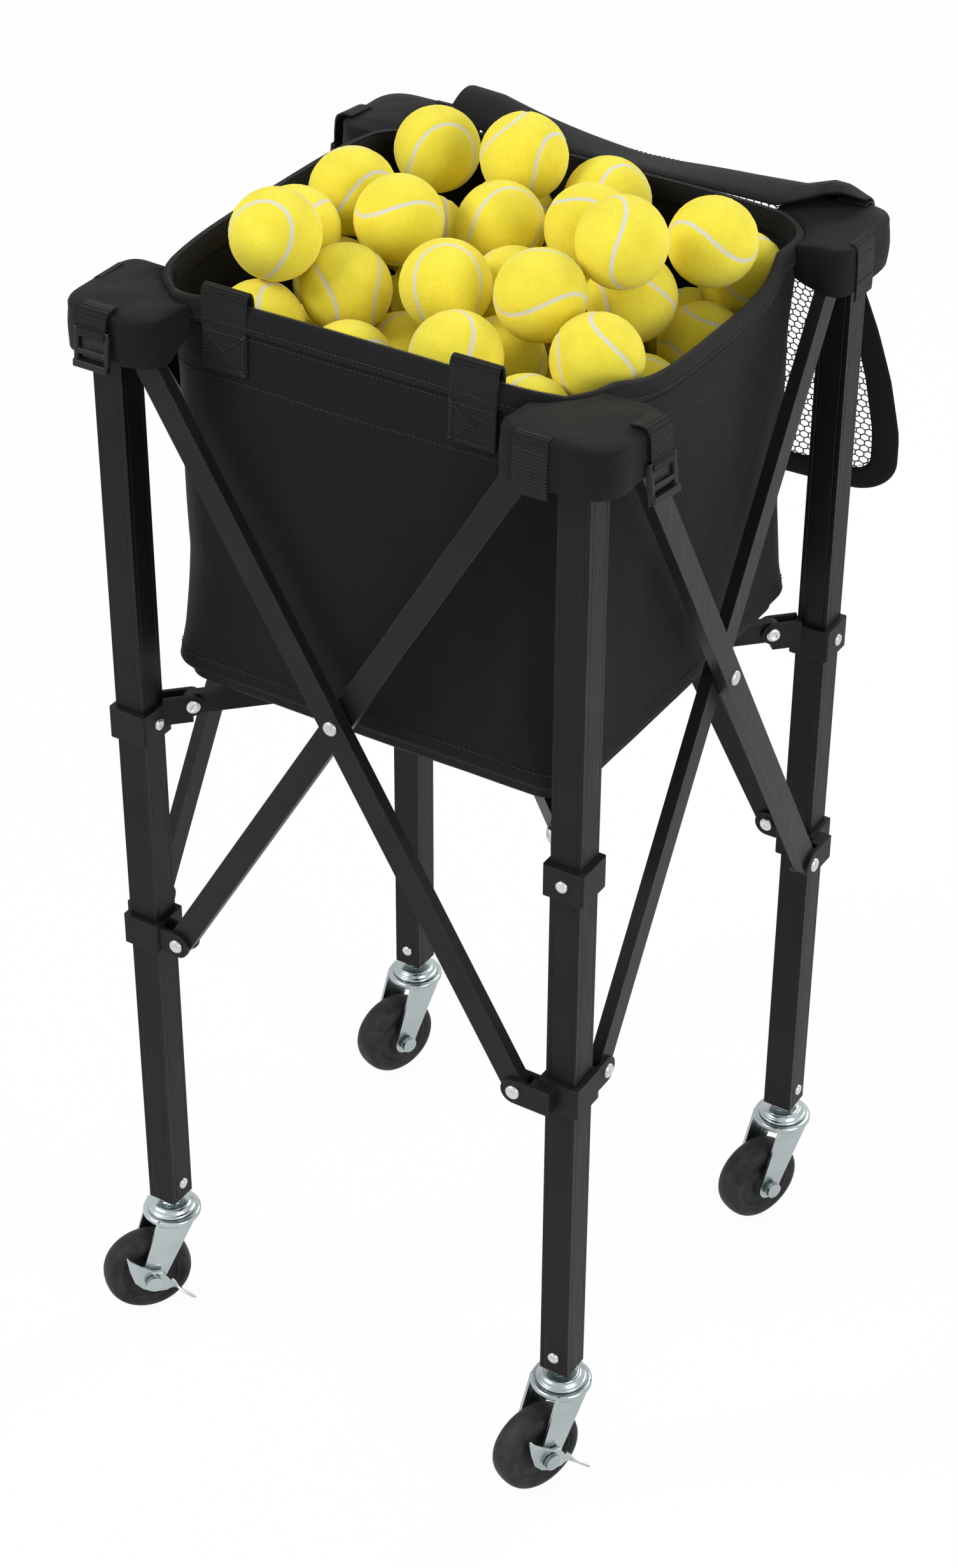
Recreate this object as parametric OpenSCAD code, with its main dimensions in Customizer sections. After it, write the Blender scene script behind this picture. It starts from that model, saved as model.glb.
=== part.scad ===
// Folding ball cart: a cloth ball bag hung in a four-leg scissor frame on swivel casters.
// Axes: +Z up, origin on the floor at the centre of the four legs, front towards -Y.
// Corners run counter-clockwise from the front left: fl, fr, br, bl.
// Faces run the same way: front, right, back, left.
$fn = 48;

/* [Legs] */
// Distance between neighbouring leg axes
leg_span = 386; // [376:1:396]
// Outside width of the square leg tube
leg_w = 25.4; // [24:0.1:27]
// Wall of the leg tube
leg_wall = 1.5; // [1.2:0.1:2]
// Height of the lower end of the leg tube
leg_foot_z = 116; // [115:1:120]
// Height of the top end of the leg tube
leg_top_z = 955; // [954:1:960]

/* [Scissor arms] */
// Height of the pins at the top of the arms
top_pin_z = 940; // [938:1:942]
// Height of the pins at the bottom of the arms
low_pin_z = 402; // [390:1:415]
// Distance of every arm pin from its leg axis
pin_offset = 33; // [31:0.5:36]
// Width of the arm bar
arm_w = 20; // [16:1:22]
// Thickness of the arm bar
arm_t = 10; // [8:0.5:11]
// Gap between two arms where they cross
cross_gap = 2; // [1.5:0.1:3]
// Gap between the outer arms and the legs they pass
arm_leg_gap = 0.8; // [0.6:0.1:1.5]
// Diameter of the pins and rivets
pin_d = 6; // [5:0.5:7]

/* [Brackets] */
// Height of the collars
collar_h = 27; // [25:1:30]
// Wall of the collars
collar_wall = 4; // [3:0.5:5]
// Thickness of the clevis ears
ear_t = 3; // [2.5:0.5:4]
// Radius of the clevis ears
ear_r = 11; // [10:0.5:12]
// Length of the jogged shoulder along the face
jog_l = 18; // [14:1:19]
// Diameter of the rivet heads
head_d = 11; // [9:0.5:12]
// Thickness of the rivet heads
head_t = 2; // [1.5:0.5:2.5]
// Middle height of the fixed upper collars
upper_collar_z = 600; // [596:1:602]
// Diameter of the bolts through the legs
bolt_d = 5; // [4:0.5:6]
// Height of the foot bolt above the leg's lower end
foot_bolt_rise = 16; // [12:1:20]

/* [Bag struts] */
// Height of the strut pins
strut_z = 609; // [607:1:611]
// Distance of a strut pin from its leg axis, along the diagonal
strut_pin_offset = 40; // [38:1:44]
// Length of a strut between its pin and the middle of its round tip
strut_l = 164; // [150:1:168]
// Height of the strut bar
strut_h = 18; // [14:1:18]
// Thickness of the strut bar
strut_t = 8; // [6:0.5:9]

/* [Casters] */
// Wheel diameter
wheel_d = 76; // [70:1:78]
// Width of the tyre
tyre_w = 26; // [22:1:28]
// Width of the wheel hub
hub_w = 31; // [29:1:32]
// Axle diameter
axle_d = 8; // [7:0.5:10]
// Distance of the axle behind the stem
trail = 25; // [20:1:30]
// Direction from the stem to the axle at the front left, front right, back right and back left, from +X
caster_turn = [231, 248, 247, 249]; // [0:1:359]
// Stem diameter
stem_d = 12; // [10:0.5:14]
// Thickness of the fork plate
fork_t = 2.5; // [2:0.5:3]
// Diameter of the fork crown
crown_d = 46; // [44:1:50]
// Thickness of the fork crown
crown_t = 5; // [4:0.5:6]
// Thickness of the brake lever
lever_t = 2; // [1.5:0.5:2.5]

/* [Bag] */
// Gap between the line of the leg axes and the bag's wall
bag_gap = 17; // [16:1:23]
// Corner radius of the bag
bag_r = 40; // [36:1:46]
// Thickness of the bag wall
bag_wall = 3; // [2:0.5:4]
// Height of the bag's top edge
bag_top_z = 954; // [952:1:956]
// Height of the rim binding
rim_h = 5; // [4:0.5:6]
// How far the rim binding stands proud of the bag wall
rim_proud = 2; // [1:0.5:2]
// Width of the handle webbing
strap_w = 38; // [30:1:40]
// Thickness of the handle webbing
strap_t = 2; // [1.5:0.5:2.5]
// Distance of a handle strap's middle from the side of the bag
strap_inset = 73; // [72:1:86]
// Length of the handle strap sewn to the outside
strap_l = 66; // [50:1:100]
// Length of the handle strap that hangs inside
strap_in_l = 46; // [30:1:60]
// How far a corner pocket reaches along the face from its leg axis
pocket_reach = 68; // [58:1:70]
// Slack of a corner pocket on its narrow side
pocket_ease = 5; // [1:0.5:8]
// Height of a corner pocket's skirt
pocket_h = 34; // [30:1:36]
// Thickness of the corner pocket's cloth
pocket_wall = 2.5; // [2:0.5:3]
// Buckle width
buckle_w = 30; // [24:1:34]
// Buckle height
buckle_h = 38; // [30:1:40]
// Buckle thickness
buckle_t = 6.5; // [5:0.5:8]
// Distance of the front left and back right buckles from their leg axes
buckle_near = 4; // [0:1:10]
// Distance of the other two buckles from their leg axes
buckle_far = 31; // [26:1:36]
// Distance of a strap tab from its leg axis
tab_x = 28; // [24:1:34]
// How far a strap tab hangs below its pocket
tab_drop = 6; // [3:1:10]

/* [Lid] */
// How far the lid stands past the bag on each side
lid_side = 0; // [-8:1:8]
// Length of the mesh lid
lid_l = 272; // [250:1:290]
// Width of the lid's binding
lid_border = 17; // [14:1:22]
// Thickness of the lid's binding
lid_t = 3; // [2:0.5:4]
// Gap between the buckles and the hanging lid
lid_gap = 44; // [34:1:54]
// Gaps of the net across the lid
net_cols = 17; // [8:1:17]
// Gaps of the net down the lid
net_rows = 15; // [8:1:17]
// Width of a net strand
net_strand = 2.2; // [1.5:0.1:3]

/* [Balls] */
// Ball diameter
ball_d = 67; // [66:0.1:68]
// Number of balls in the bag
ball_count = 114; // [1:1:120]
// Balls at the end of the fill that go on the middle of the heap
ball_crown = 3; // [0:1:16]

/* [Fits] */
// Clearance round a fixed collar
fixed_gap = 0.15; // [0.1:0.05:0.25]
// Clearance between pieces that slide past each other
slide_gap = 0.3; // [0.2:0.05:0.5]
// Radial clearance of a pin in its hole
pin_gap = 0.05; // [0.02:0.01:0.1]

/* [Hidden] */
CORNERS = ["fl", "fr", "br", "bl"];
FACES = ["front", "right", "back", "left"];

// Planes of the arms, counted outwards from the leg axis
plane_out = leg_w / 2 + arm_leg_gap;
plane_in = plane_out - cross_gap - arm_t;
// Reach of the arms between their pins, and their lean from upright
arm_reach = leg_span - 2 * pin_offset;
arm_drop = top_pin_z - low_pin_z;
arm_l = sqrt(arm_reach * arm_reach + arm_drop * arm_drop);
arm_lean = atan(arm_reach / arm_drop);
cross_z = (top_pin_z + low_pin_z) / 2;
// Collar sizes
collar_fixed = leg_w / 2 + fixed_gap;
collar_slide = leg_w / 2 + slide_gap;
collar_half = collar_slide + collar_wall;
cover_t = 2;
// Strut clevis
strut_ear_r = strut_h / 2;
strut_stop_h = 5;
strut_web = strut_t + 2 * slide_gap + 2 * ear_t;
// Caster heights
axle_z = wheel_d / 2;
wheel_gap = 0.5;
fork_in = hub_w / 2 + wheel_gap;
nut_h = 8;
nut_d = 17;
race_h = 7;
race_d = 37;
race_z = leg_foot_z - nut_h - race_h;
crown_z = race_z - slide_gap - crown_t;
stem_head_d = 20;
stem_head_h = 3;
plug_h = 32;
plug_w = leg_w - 2 * leg_wall - 2 * fixed_gap;
fork_top_half = 17;
fork_eye_r = 11;
axle_head_d = 14;
axle_head_t = 4;
lever_in = fork_in + fork_t + slide_gap;
lever_r = 12;
lever_wing = 21;
lever_rise = 30;
tongue_w = 12;
tongue_l = 31;
tongue_dip = 40;
// Bag heights and outlines
bag_half = leg_span / 2 - bag_gap;
strap_x = bag_half - strap_inset;
bag_foot_z = strut_z + strut_h / 2 + slide_gap;
rim_out = bag_half + rim_proud;
rim_in = bag_half - bag_wall - rim_proud / 2;
rim_top_z = bag_top_z + rim_h;
strap_in = rim_in - slide_gap - strap_t;
strap_out = rim_out + slide_gap;
strap_top_z = rim_top_z + slide_gap;
bracket_out = plane_out + arm_t + slide_gap + ear_t + head_t;
pocket_out = bracket_out + slide_gap + pocket_wall;
bracket_side = max(collar_half, plane_in + arm_t + slide_gap + ear_t + head_t);
pocket_side = bracket_side + pocket_ease + pocket_wall;
pocket_top_z = leg_top_z + cover_t + slide_gap + pocket_wall;
pocket_low_z = pocket_top_z - pocket_h;
pocket_r = 16;
buckle_r = 4;
// Lid place
hinge_y = rim_out + slide_gap;
hinge_z = rim_top_z + slide_gap + lid_t / 2;
lid_w = 2 * (bag_half + lid_side);
lid_y = leg_span / 2 + pocket_out + slide_gap + buckle_t + lid_gap;
strip_gap = 4;
lid_r = 30;
net_t = 1.5;
net_w = lid_w - 2 * lid_border - 2 * slide_gap;
net_l = lid_l - 2 * lid_border - 2 * slide_gap;
// Ball heap
ball_gap = 0.4;
ball_step = ball_d + ball_gap;
ball_zone = strap_in - ball_d / 2 - slide_gap;
ball_foot = bag_foot_z + bag_wall + slide_gap + ball_d / 2;
crown_zone = 110;
wall_bias = 1.25;
ball_tries = 40;
ball_seed = 9;

cloth = [0.09, 0.09, 0.10];
black = [0.12, 0.12, 0.12];
zinc = [0.78, 0.80, 0.82];

// Places a child at corner k, with the leg axis at the child's origin
module corner(k) {
  rotate([0, 0, 90 * k]) translate([-leg_span / 2, -leg_span / 2, 0]) children();
}

// Turns an outline drawn in X and Z so that its thickness runs outwards from the front
module upright(from, thick) {
  rotate([90, 0, 0]) translate([0, 0, from]) linear_extrude(thick) children();
}

module round_square(half, r) {
  union() {
    square([2 * half, 2 * (half - r)], center = true);
    square([2 * (half - r), 2 * half], center = true);
    for (x = [-1, 1]) for (y = [-1, 1]) translate([x * (half - r), y * (half - r)]) circle(r);
  }
}

module round_box(w, l, r) {
  union() {
    square([w, l - 2 * r], center = true);
    square([w - 2 * r, l], center = true);
    for (x = [-1, 1]) for (y = [-1, 1]) translate([x * (w / 2 - r), y * (l / 2 - r)]) circle(r);
  }
}

// Square leg tube, drilled for the collar bolt and the foot bolt
module leg(k) {
  color(black) corner(k) difference() {
    translate([0, 0, leg_foot_z]) linear_extrude(leg_top_z - leg_foot_z) difference() {
      square(leg_w, center = true);
      square(leg_w - 2 * leg_wall, center = true);
    }
    leg_bolt_holes();
  }
}

module leg_bolt_holes() {
  for (z = [upper_collar_z, leg_foot_z + foot_bolt_rise])
    translate([0, 0, z]) rotate([0, 90, 0])
      cylinder(d = bolt_d + 2 * pin_gap, h = 4 * leg_w, center = true);
}

// Bolts through the upper collar and through the foot
module leg_bolts(k) {
  color(zinc) corner(k) {
    leg_bolt(upper_collar_z, collar_half);
    leg_bolt(leg_foot_z + foot_bolt_rise, leg_w / 2);
  }
}

module leg_bolt(z, half) {
  translate([0, 0, z]) rotate([0, 90, 0]) {
    cylinder(d = bolt_d, h = 2 * half + head_t, center = true);
    for (s = [-1, 1]) translate([0, 0, s * (half + head_t / 2)])
      cylinder(d = 2 * bolt_d - 1, h = head_t, center = true);
  }
}

// Two ears and a rivet that carry the end of an arm on the front side of a corner
module clevis(plane, jogged) {
  out_ear = plane + arm_t + slide_gap;
  in_ear = plane - slide_gap - ear_t;
  jog_from = pin_offset - arm_w / 2 - 3 - jog_l;
  upright(in_ear, ear_t) ear(collar_half - 1);
  upright(out_ear, ear_t) ear(jogged ? jog_from : collar_half - 1);
  if (jogged) upright(collar_half - 1, out_ear + ear_t - collar_half + 1)
    translate([jog_from, -ear_r]) square([jog_l, 2 * ear_r]);
  translate([pin_offset, 0, 0]) rotate([90, 0, 0]) {
    translate([0, 0, in_ear - head_t]) cylinder(d = pin_d, h = out_ear - in_ear + ear_t + 2 * head_t);
    translate([0, 0, in_ear - head_t]) cylinder(d = head_d, h = head_t);
    translate([0, 0, out_ear + ear_t]) cylinder(d = head_d, h = head_t);
  }
}

module ear(root) {
  union() {
    translate([root, -ear_r]) square([pin_offset - root, 2 * ear_r]);
    translate([pin_offset, 0]) circle(ear_r);
  }
}

module other_side() {
  mirror([1, -1, 0]) children();
}

// Bracket on top of a leg: the outer arm starts on its front, the inner arm on its side
module top_bracket(k) {
  low = top_pin_z - collar_h / 2;
  color(black) corner(k) difference() {
    union() {
      translate([0, 0, low]) linear_extrude(leg_top_z + cover_t - low) round_square(collar_half, 2);
      translate([0, 0, top_pin_z]) {
        clevis(plane_out, true);
        other_side() clevis(plane_in, false);
      }
    }
    translate([0, 0, low - 1]) linear_extrude(leg_top_z - low + 1) square(2 * collar_fixed, center = true);
  }
}

// Sliding collar: the inner arm ends on its front, the outer arm on its side
module slider(k) {
  color(black) corner(k) difference() {
    translate([0, 0, low_pin_z]) union() {
      translate([0, 0, -collar_h / 2]) linear_extrude(collar_h) round_square(collar_half, 2);
      clevis(plane_in, false);
      other_side() clevis(plane_out, true);
    }
    translate([0, 0, low_pin_z]) linear_extrude(2 * collar_h, center = true)
      square(2 * collar_slide, center = true);
  }
}

// Fixed collar with a clevis and a stop for the bag strut on its inner corner
module upper_collar(k) {
  ear_in = strut_t / 2 + slide_gap;
  color(black) corner(k) difference() {
    union() {
      translate([0, 0, upper_collar_z - collar_h / 2]) linear_extrude(collar_h) round_square(collar_half, 2);
      rotate([0, 0, 45]) {
        for (s = [ear_in, -ear_in - ear_t]) translate([0, 0, strut_z]) upright(s, ear_t) union() {
          translate([collar_half, -strut_ear_r]) square([strut_pin_offset - collar_half, 2 * strut_ear_r]);
          translate([strut_pin_offset, 0]) circle(strut_ear_r);
        }
        translate([collar_half, -strut_web / 2, strut_z - strut_h / 2 - slide_gap - strut_stop_h])
          cube([strut_pin_offset - collar_half, strut_web, strut_stop_h]);
        translate([strut_pin_offset, 0, strut_z]) rotate([90, 0, 0]) {
          cylinder(d = pin_d, h = strut_web + 2 * head_t, center = true);
          for (s = [-1, 1]) translate([0, 0, s * (strut_web + head_t) / 2])
            cylinder(d = head_d, h = head_t, center = true);
        }
      }
    }
    translate([0, 0, upper_collar_z]) linear_extrude(2 * collar_h, center = true)
      square(2 * collar_fixed, center = true);
    leg_bolt_holes();
  }
}

// Bar under the bag, hinged on the upper collar
module strut(k) {
  color(black) corner(k) rotate([0, 0, 45]) translate([strut_pin_offset, 0, strut_z])
    upright(-strut_t / 2, strut_t) difference() {
      union() {
        translate([0, -strut_h / 2]) square([strut_l, strut_h]);
        circle(strut_h / 2);
        translate([strut_l, 0]) circle(strut_h / 2);
      }
      circle(d = pin_d + 2 * pin_gap);
    }
}

// Outline of an arm in its face, leaning left at the top for a positive lean
module arm_outline(lean, cross_d) {
  translate([0, cross_z]) rotate(lean) difference() {
    union() {
      square([arm_w, arm_l], center = true);
      for (s = [-1, 1]) translate([0, s * arm_l / 2]) circle(arm_w / 2);
    }
    for (s = [-1, 1]) translate([0, s * arm_l / 2]) circle(d = pin_d + 2 * pin_gap);
    if (cross_d > 0) circle(d = cross_d);
  }
}

// Outer arm with the rivet and washer of the crossing
module outer_arm(k) {
  color(black) rotate([0, 0, 90 * k]) {
    upright(leg_span / 2 + plane_out, arm_t) arm_outline(arm_lean, 0);
    translate([0, 0, cross_z]) rotate([90, 0, 0]) translate([0, 0, leg_span / 2]) {
      translate([0, 0, plane_out + arm_t]) cylinder(d = head_d, h = head_t);
      translate([0, 0, plane_out - cross_gap + slide_gap / 2])
        cylinder(d = head_d + 2, h = cross_gap - slide_gap / 2);
      translate([0, 0, plane_in - slide_gap / 2 - head_t])
        cylinder(d = pin_d, h = plane_out - plane_in + slide_gap / 2 + head_t);
      translate([0, 0, plane_in - slide_gap / 2 - head_t]) cylinder(d = head_d, h = head_t);
    }
  }
}

module inner_arm(k) {
  color(black) rotate([0, 0, 90 * k])
    upright(leg_span / 2 + plane_in, arm_t) arm_outline(-arm_lean, pin_d + 2 * pin_gap);
}

// Plug in the leg's foot with the swivel stem, its nut and the bearing race
module caster_stem(k) {
  stem_low = crown_z - slide_gap - stem_head_h;
  color(zinc) corner(k) difference() {
    union() {
      translate([0, 0, leg_foot_z]) linear_extrude(plug_h) square(plug_w, center = true);
      translate([0, 0, race_z + race_h]) cylinder(d = nut_d, h = nut_h, $fn = 6);
      translate([0, 0, race_z]) rotate_extrude() polygon([[0, 0], [race_d / 2, 0], [race_d / 2, race_h / 2],
        [race_d / 2 - race_h / 2, race_h], [0, race_h]]);
      translate([0, 0, stem_low]) cylinder(d = stem_d, h = race_z - stem_low);
      translate([0, 0, stem_low]) cylinder(d = stem_head_d, h = stem_head_h);
    }
    leg_bolt_holes();
  }
}

// Places a child at corner k's stem, turned so that +X runs from the stem towards the axle
module trailing(k) {
  sx = [-1, 1, 1, -1];
  sy = [-1, -1, 1, 1];
  translate([sx[k] * leg_span / 2, sy[k] * leg_span / 2, 0]) rotate([0, 0, caster_turn[k]]) children();
}

// Fork that swivels on the stem: a crown and two plates
module caster_fork(k) {
  color(zinc) trailing(k) difference() {
    union() {
      translate([0, 0, crown_z]) cylinder(d = crown_d, h = crown_t);
      for (y = [fork_in, -fork_in - fork_t]) upright(y, fork_t) fork_plate();
    }
    translate([0, 0, crown_z - 1]) cylinder(d = stem_d + 2 * pin_gap, h = crown_t + 2);
    translate([trail, 0, axle_z]) rotate([90, 0, 0])
      cylinder(d = axle_d + 2 * pin_gap, h = 4 * fork_in, center = true);
  }
}

module fork_plate() {
  union() {
    polygon([[-fork_top_half, crown_z + crown_t], [fork_top_half, crown_z + crown_t],
      [trail + fork_eye_r, axle_z], [trail - fork_eye_r, axle_z]]);
    translate([trail, axle_z]) circle(fork_eye_r);
  }
}

// Axle bolt of the wheel, with a head on each side
module caster_axle(k) {
  reach = fork_in + fork_t + lever_t + 2 * slide_gap;
  color(zinc) trailing(k) translate([trail, 0, axle_z]) rotate([90, 0, 0]) {
    cylinder(d = axle_d, h = 2 * reach + axle_head_t, center = true);
    for (s = [-1, 1]) translate([0, 0, s * (reach + axle_head_t / 2)])
      cylinder(d = axle_head_d, h = axle_head_t, center = true);
  }
}

// Wheel with a hub, a web and a rounded tyre
module caster_wheel(k) {
  bore = axle_d / 2 + pin_gap;
  hub_r = axle_d / 2 + 8;
  rim_r = wheel_d / 2 - 11;
  web = tyre_w / 2 - 4;
  side = tyre_w / 2;
  tread = wheel_d / 2;
  color(black) trailing(k) translate([trail, 0, axle_z]) rotate([90, 0, 0]) rotate_extrude()
    polygon([[bore, -hub_w / 2], [hub_r, -hub_w / 2], [hub_r + 1, -web], [rim_r, -web], [rim_r + 2, -side],
      [tread - 4, -side], [tread - 1, -side + 3], [tread, -side + 8], [tread, side - 8], [tread - 1, side - 3],
      [tread - 4, side], [rim_r + 2, side], [rim_r, web], [hub_r + 1, web], [hub_r, hub_w / 2],
      [bore, hub_w / 2]]);
}

// Stamped brake lever on the axle, outside the fork, with a raised wing and a dipped tongue for the foot
module brake_lever(k) {
  color(zinc) trailing(k) translate([trail, 0, axle_z]) mirror([0, 1, 0]) difference() {
    union() {
      upright(lever_in, lever_t) union() {
        circle(lever_r);
        polygon([[0, -lever_r], [lever_r * 0.8, -lever_r / 2], [lever_wing - 2, lever_rise / 2],
          [lever_wing, lever_rise], [0, lever_r], [-lever_r * 0.7, lever_r * 0.7]]);
        polygon([[0, -lever_r], [-lever_r * 0.7, lever_r * 0.7], [-lever_r * 1.4, -lever_r / 2],
          [-lever_r, -lever_r]]);
      }
      translate([-lever_r / 2, -lever_in - tongue_w, -lever_r / 4]) rotate([0, -tongue_dip, 0])
        translate([-tongue_l, 0, 0]) cube([tongue_l, tongue_w, lever_t]);
    }
    rotate([90, 0, 0]) cylinder(d = axle_d + 2 * pin_gap, h = 4 * fork_in, center = true);
    translate([0, -lever_in - lever_t, 0]) rotate([90, 0, 0])
      cylinder(d = axle_head_d + 4 * slide_gap, h = 2 * tongue_l);
  }
}

// Cloth bag, open at the top
module bag_body() {
  color(cloth) difference() {
    translate([0, 0, bag_foot_z]) linear_extrude(bag_top_z - bag_foot_z) round_square(bag_half, bag_r);
    translate([0, 0, bag_foot_z + bag_wall]) linear_extrude(bag_top_z - bag_foot_z)
      round_square(bag_half - bag_wall, bag_r - bag_wall);
  }
}

// Binding sewn round the bag's mouth
module bag_rim() {
  color(cloth) translate([0, 0, bag_top_z]) linear_extrude(rim_h) difference() {
    round_square(rim_out, bag_r + rim_proud);
    round_square(rim_in, bag_r - bag_wall - rim_proud / 2);
  }
}

// Cloth pockets that drop over the leg tops at the bag's corners
module corner_pockets() {
  color(cloth) for (k = [0:3]) rotate([0, 0, 90 * k]) difference() {
    translate([0, 0, pocket_low_z]) linear_extrude(pocket_h) pocket_outline(0);
    translate([0, 0, pocket_low_z - 1]) linear_extrude(pocket_h - pocket_wall + 1) pocket_outline(pocket_wall);
  }
}

module pocket_outline(inset) {
  difference() {
    translate([(pocket_reach - pocket_side - leg_span) / 2, (pocket_reach - pocket_out - leg_span) / 2])
      round_box(pocket_side + pocket_reach - 2 * inset, pocket_out + pocket_reach - 2 * inset,
        pocket_r - inset);
    round_square(rim_out + slide_gap + inset, bag_r + rim_proud + slide_gap + inset);
  }
}

// Buckles on the wide sides of the pockets
module buckles() {
  color(black) for (k = [0:3]) corner(k) buckle(k % 2 == 0 ? buckle_near : buckle_far);
}

module buckle(x) {
  upright(pocket_out + slide_gap, buckle_t) translate([x, pocket_low_z + buckle_h / 4])
    round_box(buckle_w, buckle_h, buckle_r);
}

// Webbing tabs on the narrow sides of the pockets
module corner_straps() {
  color(cloth) for (k = [0:3]) corner(k) other_side() upright(pocket_side + slide_gap, strap_t)
    translate([tab_x - buckle_w / 2, pocket_low_z - tab_drop])
      square([buckle_w, pocket_h + tab_drop - strap_t]);
}

// Webbing straps sewn to the front that run over the rim into the bag
module handle_straps() {
  color(cloth) for (s = [-1, 1]) translate([s * strap_x - strap_w / 2, 0, 0]) {
    translate([0, -strap_out - strap_t, strap_top_z + strap_t - strap_l]) cube([strap_w, strap_t, strap_l]);
    translate([0, -strap_out - strap_t, strap_top_z])
      cube([strap_w, strap_out + strap_t - strap_in, strap_t]);
    translate([0, -strap_in - strap_t, strap_top_z + strap_t - strap_in_l])
      cube([strap_w, strap_t, strap_in_l]);
  }
}

// Bound edge of the lid, hanging behind the bag from a strip sewn to the rim
module lid_binding() {
  strip_half = leg_span / 2 - pocket_reach - strip_gap;
  color(cloth) {
    translate([0, lid_y + lid_t, hinge_z + lid_t / 2 - lid_l / 2]) rotate([90, 0, 0]) linear_extrude(lid_t)
      difference() {
        round_box(lid_w, lid_l, lid_r);
        square([lid_w - 2 * lid_border, lid_l - 2 * lid_border], center = true);
      }
    translate([-strip_half, hinge_y, hinge_z - lid_t / 2])
      cube([2 * strip_half, lid_y - hinge_y + lid_t, lid_t]);
  }
}

// Net of the lid
module lid_net() {
  gap_w = (net_w - net_strand) / net_cols - net_strand;
  gap_l = (net_l - net_strand) / net_rows - net_strand;
  color(cloth) translate([0, lid_y + (lid_t + net_t) / 2, hinge_z + lid_t / 2 - lid_l / 2]) rotate([90, 0, 0])
    linear_extrude(net_t) difference() {
      square([net_w, net_l], center = true);
      for (i = [0:net_cols - 1]) for (j = [0:net_rows - 1])
        translate([-net_w / 2 + net_strand + i * (gap_w + net_strand),
          -net_l / 2 + net_strand + j * (gap_l + net_strand)]) square([gap_w, gap_l]);
    }
}

// Height at which a ball dropped at p comes to rest on the heap
function rest_z(p, heap) = max(concat([ball_foot], [for (b = heap)
  let (g = norm([p.x - b.x, p.y - b.y]))
  g < ball_step ? b.z + sqrt(ball_step * ball_step - g * g) : ball_foot]));

// Places tried for one ball over the bag or the middle of the heap; those past the wall are drawn in to it
function tries(i) =
  let (zone = i < ball_count - ball_crown ? ball_zone : crown_zone)
  let (r = rands(-wall_bias * zone, wall_bias * zone, 2 * ball_tries, ball_seed + i))
  [for (j = [0:ball_tries - 1]) [for (k = [0, 1]) max(-zone, min(zone, r[2 * j + k]))]];

// The try that lies lowest, with its height
function lowest(places, heap) =
  let (z = [for (p = places) rest_z(p, heap)])
  let (low = min(z))
  let (i = [for (j = [0:len(z) - 1]) if (z[j] == low) j][0])
  [places[i].x, places[i].y, low];

// Balls dropped one after another
function heap(i, done) = i == ball_count ? done : heap(i + 1, concat(done, [lowest(tries(i), done)]));

module balls() {
  color("gold") for (b = heap(0, [])) translate(b) sphere(d = ball_d);
}

for (k = [0:3]) {
  leg(k);
  top_bracket(k);
  upper_collar(k);
  slider(k);
  strut(k);
  leg_bolts(k);
  caster_stem(k);
  caster_fork(k);
  caster_axle(k);
  caster_wheel(k);
  outer_arm(k);
  inner_arm(k);
}
brake_lever(0);  // brake_lever_fl
brake_lever(1);  // brake_lever_fr
bag_body();
bag_rim();
corner_pockets();
buckles();
corner_straps();
handle_straps();
lid_binding();
lid_net();
balls();
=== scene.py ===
"""Folding ball cart: a cloth ball bag in a four-leg scissor frame on swivel casters."""

from math import acos, asin, cos, exp, pi, radians, sin, sqrt

import bpy
import numpy as np
from mathutils import Matrix, Vector


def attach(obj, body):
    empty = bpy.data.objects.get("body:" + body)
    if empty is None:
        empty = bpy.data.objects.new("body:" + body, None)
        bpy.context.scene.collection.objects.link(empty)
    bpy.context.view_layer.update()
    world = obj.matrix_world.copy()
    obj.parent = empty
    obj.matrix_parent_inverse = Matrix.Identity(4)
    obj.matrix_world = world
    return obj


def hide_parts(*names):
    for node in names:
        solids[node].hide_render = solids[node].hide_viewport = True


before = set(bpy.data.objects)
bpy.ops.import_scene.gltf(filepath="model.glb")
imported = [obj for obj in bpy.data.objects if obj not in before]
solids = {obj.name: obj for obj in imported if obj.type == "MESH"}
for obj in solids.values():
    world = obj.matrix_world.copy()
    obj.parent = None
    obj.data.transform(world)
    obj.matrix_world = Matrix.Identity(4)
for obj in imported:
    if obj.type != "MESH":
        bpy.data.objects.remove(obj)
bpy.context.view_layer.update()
CORNERS = ("fl", "fr", "br", "bl")
FACES = ("front", "right", "back", "left")

# Studio: a pale floor, a white surround, and soft lamps to the left, the right and behind.
# The floor and the world show white to the camera and to reflections, and the floor keeps the shadow.
def put(tree, kind, ins=None, **props):
    """Adds a shader node, sets its properties, and links or sets its inputs."""
    made = tree.nodes.new("ShaderNode" + kind)
    for key, value in props.items():
        setattr(made, key, value)
    for key, value in (ins or {}).items():
        if isinstance(value, bpy.types.NodeSocket):
            tree.links.new(value, made.inputs[key])
        else:
            made.inputs[key].default_value = value
    return made


def reckon(tree, operation, *values):
    """One step of arithmetic on shader values."""
    return put(tree, "Math", dict(enumerate(values)), operation=operation).outputs[0]


def seen_directly(tree):
    """1 for rays that come from the camera, a reflection or a see-through surface."""
    path = put(tree, "LightPath").outputs
    either = reckon(tree, "MAXIMUM", path["Is Camera Ray"], path["Is Glossy Ray"])
    return reckon(tree, "MAXIMUM", either, path["Is Transmission Ray"])


def placed(name, data):
    made = bpy.data.objects.new(name, data)
    bpy.context.scene.collection.objects.link(made)
    return made


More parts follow.
